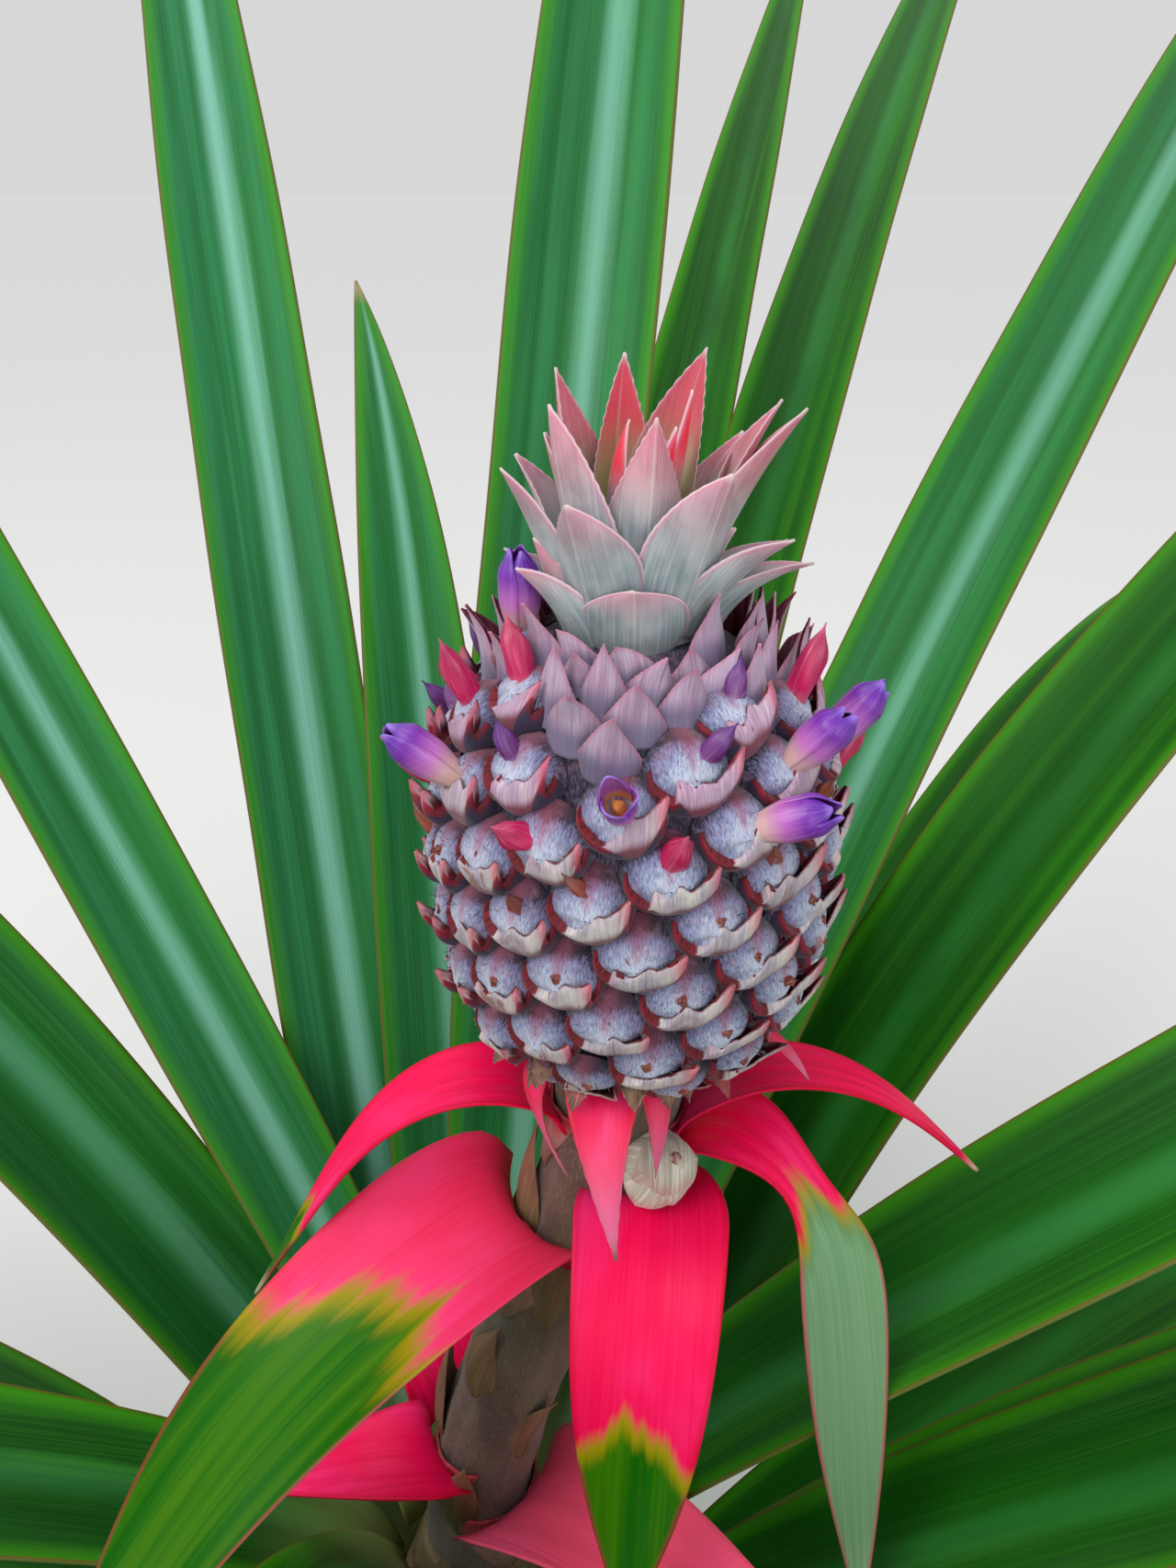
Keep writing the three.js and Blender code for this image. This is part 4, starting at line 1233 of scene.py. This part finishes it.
def petal_material(name, stops, hollow=False):
    look = Look(name, 0.35, Coat_Weight=0.15, Coat_Roughness=0.3, Specular_IOR_Level=0.45)
    look.noise("veins", (2200, 90, 1), 4.0)
    look.base = look.ramp(look.add("along", look.times(look.less("veins", 0.5), 0.12)), stops)
    look.paint((226, 190, 226), "veins", 0.45, 0.8, 0.28)
    if hollow:
        inside = look.less(1.0, "outer")
        look.layer(look.mix("facing", (84, 28, 112), (176, 104, 164)), look.times(inside, 0.6))
        look.layer((236, 160, 84), look.times(look.times(inside, "facing"), look.step("along", 0.55, 0.35)))
    return look.finish("veins", 0.4)


CROWN_GREY = (130, 146, 152)
CROWN_PALE = (178, 184, 190)
CROWN_PINK = (208, 116, 146)
CROWN_RED = (240, 36, 66)
CROWN_GOLD = (190, 186, 50)


def crown_material():
    look = Look("crown_leaf", 0.5, CROWN_GREY, Sheen_Weight=0.2, Sheen_Roughness=0.4,
                Specular_IOR_Level=0.4)
    look.noise("lines", (2300, 70, 60), 4.0, 0.6)
    look.noise("blotch", (150, 110, 60))
    look.paint(CROWN_PALE, "blotch", 0.35, 0.7)
    look.paint((206, 212, 216), "lines", 0.42, 0.75, 0.45)
    look.paint((104, 116, 120), "lines", 0.4, 0.2, 0.35)
    look.paint(CROWN_PINK, "along", 0.45, 1.0, 0.6)
    look.layer(CROWN_RED, look.times("heart", look.step("along", 0.3, 0.7, 1.0, 0.05)))
    inside = look.times(look.less(1.0, "outer"), "heart")
    look.layer(CROWN_GOLD, look.times(inside, look.step("along", 0.75, 0.3, 0.8)))
    look.paint((216, 212, 200), look.math("ABSOLUTE", "across"), 0.06, 0.0, 0.4)
    look.paint(CROWN_PINK, "edge", 1.0, 0.2, 0.5)
    look.paint((228, 212, 218), "edge", 0.35, 0.05, 0.6)
    look.paint((214, 196, 196), "along", 0.93, 1.0, 0.7)
    return look.finish("lines", 0.5, 0.0005)


def shoot_material():
    look = Look("shoot_scale", 0.5, (176, 172, 158), Sheen_Weight=0.2, Specular_IOR_Level=0.4)
    look.noise("lines", (1800, 110, 60), 4.0)
    look.noise("blotch", (300, 200, 60))
    look.paint((224, 220, 208), "lines", 0.4, 0.7)
    look.paint((178, 140, 134), "blotch", 0.5, 0.7, 0.5)
    look.paint((176, 96, 96), "edge", 0.9, 0.1, 0.6)
    look.paint((150, 84, 76), "along", 0.8, 1.0, 0.7)
    return look.finish("lines", 0.4)


def leaf_base_material():
    look = Look("leaf_base", 0.6, (196, 52, 76), Specular_IOR_Level=0.35)
    look.noise("lines", (1800, 60, 60), 4.0, 0.6)
    look.noise("blotch", (140, 60, 60))
    look.paint((172, 124, 118), "along", 0.0, 0.5)
    look.paint((128, 108, 92), "along", 0.4, 1.0, 0.8)
    look.layer(look.blend((112, 104, 66), (146, 108, 84), "along", 0.1, 0.8), "dry")
    look.paint((190, 174, 156), "lines", 0.45, 0.75, 0.35)
    look.paint((92, 64, 54), "blotch", 0.5, 0.7, 0.5)
    look.layer((128, 108, 92), look.times("tone", 0.2))
    return look.finish("lines", 0.5, 0.0005)


def stalk_material():
    look = Look("stalk_wool", 0.7, (84, 66, 54), Sheen_Weight=0.3, Sheen_Roughness=0.5)
    look.noise("fuzz", (1900, 1900, 500), 4.0, 0.6)
    look.noise("blotch", (90, 90, 40))
    look.paint((112, 98, 76), "blotch", 0.35, 0.65)
    look.paint((160, 150, 146), "fuzz", 0.5, 0.75, 0.4)
    look.paint((66, 52, 62), "fuzz", 0.45, 0.25, 0.5)
    return look.finish("fuzz", 0.6, 0.0006)


def bark_material():
    look = Look("stem_bark", 0.85, (98, 78, 56), Specular_IOR_Level=0.25)
    look.noise("fibres", (900, 900, 60), 5.0, 0.65)
    look.noise("blotch", (60, 60, 30), 4.0)
    look.paint((146, 130, 98), "blotch", 0.35, 0.65)
    look.paint((176, 160, 126), "fibres", 0.5, 0.75, 0.5)
    return look.finish("fibres", 0.8, 0.0012)


# Stage.


def add_object(name, data):
    obj = bpy.data.objects.new(name, data)
    bpy.context.scene.collection.objects.link(obj)
    return obj


def add_stage():
    mesh = bpy.data.meshes.new("floor")
    reach = 60.0
    corners = [(-reach, -reach, 0), (reach, -reach, 0), (reach, reach, 0), (-reach, reach, 0)]
    mesh.from_pydata(corners, [], [(0, 1, 2, 3)])
    floor = add_object("floor", mesh)
    material = bpy.data.materials.new("floor")
    material.use_nodes = True
    shader = material.node_tree.nodes["Principled BSDF"]
    shader.inputs["Base Color"].default_value = (*rgb(226, 226, 226), 1)
    shader.inputs["Roughness"].default_value = 0.9
    mesh.materials.append(material)


def add_light(name, place, target, size, power, colour=(1, 1, 1)):
    lamp = bpy.data.lights.new(name, "AREA")
    lamp.shape = "DISK"
    lamp.size = size
    lamp.energy = power
    lamp.color = colour
    obj = add_object(name, lamp)
    obj.location = place
    way = Vector(target) - Vector(place)
    obj.rotation_euler = way.to_track_quat("-Z", "Y").to_euler()


def add_lights():
    world = bpy.data.worlds.new("studio")
    world.use_nodes = True
    sky = world.node_tree.nodes["Background"]
    sky.inputs["Color"].default_value = (*rgb(246, 246, 246), 1)
    sky.inputs["Strength"].default_value = 0.74
    bpy.context.scene.world = world
    sun = bpy.data.lights.new("overhead", "SUN")
    sun.energy = 0.75
    sun.angle = math.radians(50)
    add_object("overhead", sun).rotation_euler = (math.radians(-12), math.radians(-14), 0)
    add_light("key", (-1.2, -1.0, 2.2), (0, 0, 0.4), 1.4, 26, (1.0, 0.98, 0.95))
    add_light("fill", (0.6, -1.7, 0.9), (0, 0, 0.3), 1.6, 12)


def add_camera():
    data = bpy.data.cameras.new("camera")
    data.lens = CAMERA_LENS
    data.sensor_width = CAMERA_SENSOR
    data.clip_start = 0.01
    camera = add_object("camera", data)
    camera.location = [v * MM for v in CAMERA_PLACE]
    camera.rotation_euler = (math.radians(90 - CAMERA_TILT), 0, 0)
    bpy.context.scene.camera = camera


bpy.context.scene.view_settings.view_transform = "Standard"
add_camera()
add_stage()
add_lights()
add_rosette(leaf_material())
add_stalk_leaves()
add_small_bracts(small_bract_material())
add_leaf_bases(leaf_base_material())
add_stalk(stalk_material())
add_shoot(shoot_material())
add_stem(bark_material())
add_fruit()
add_crown(crown_material())
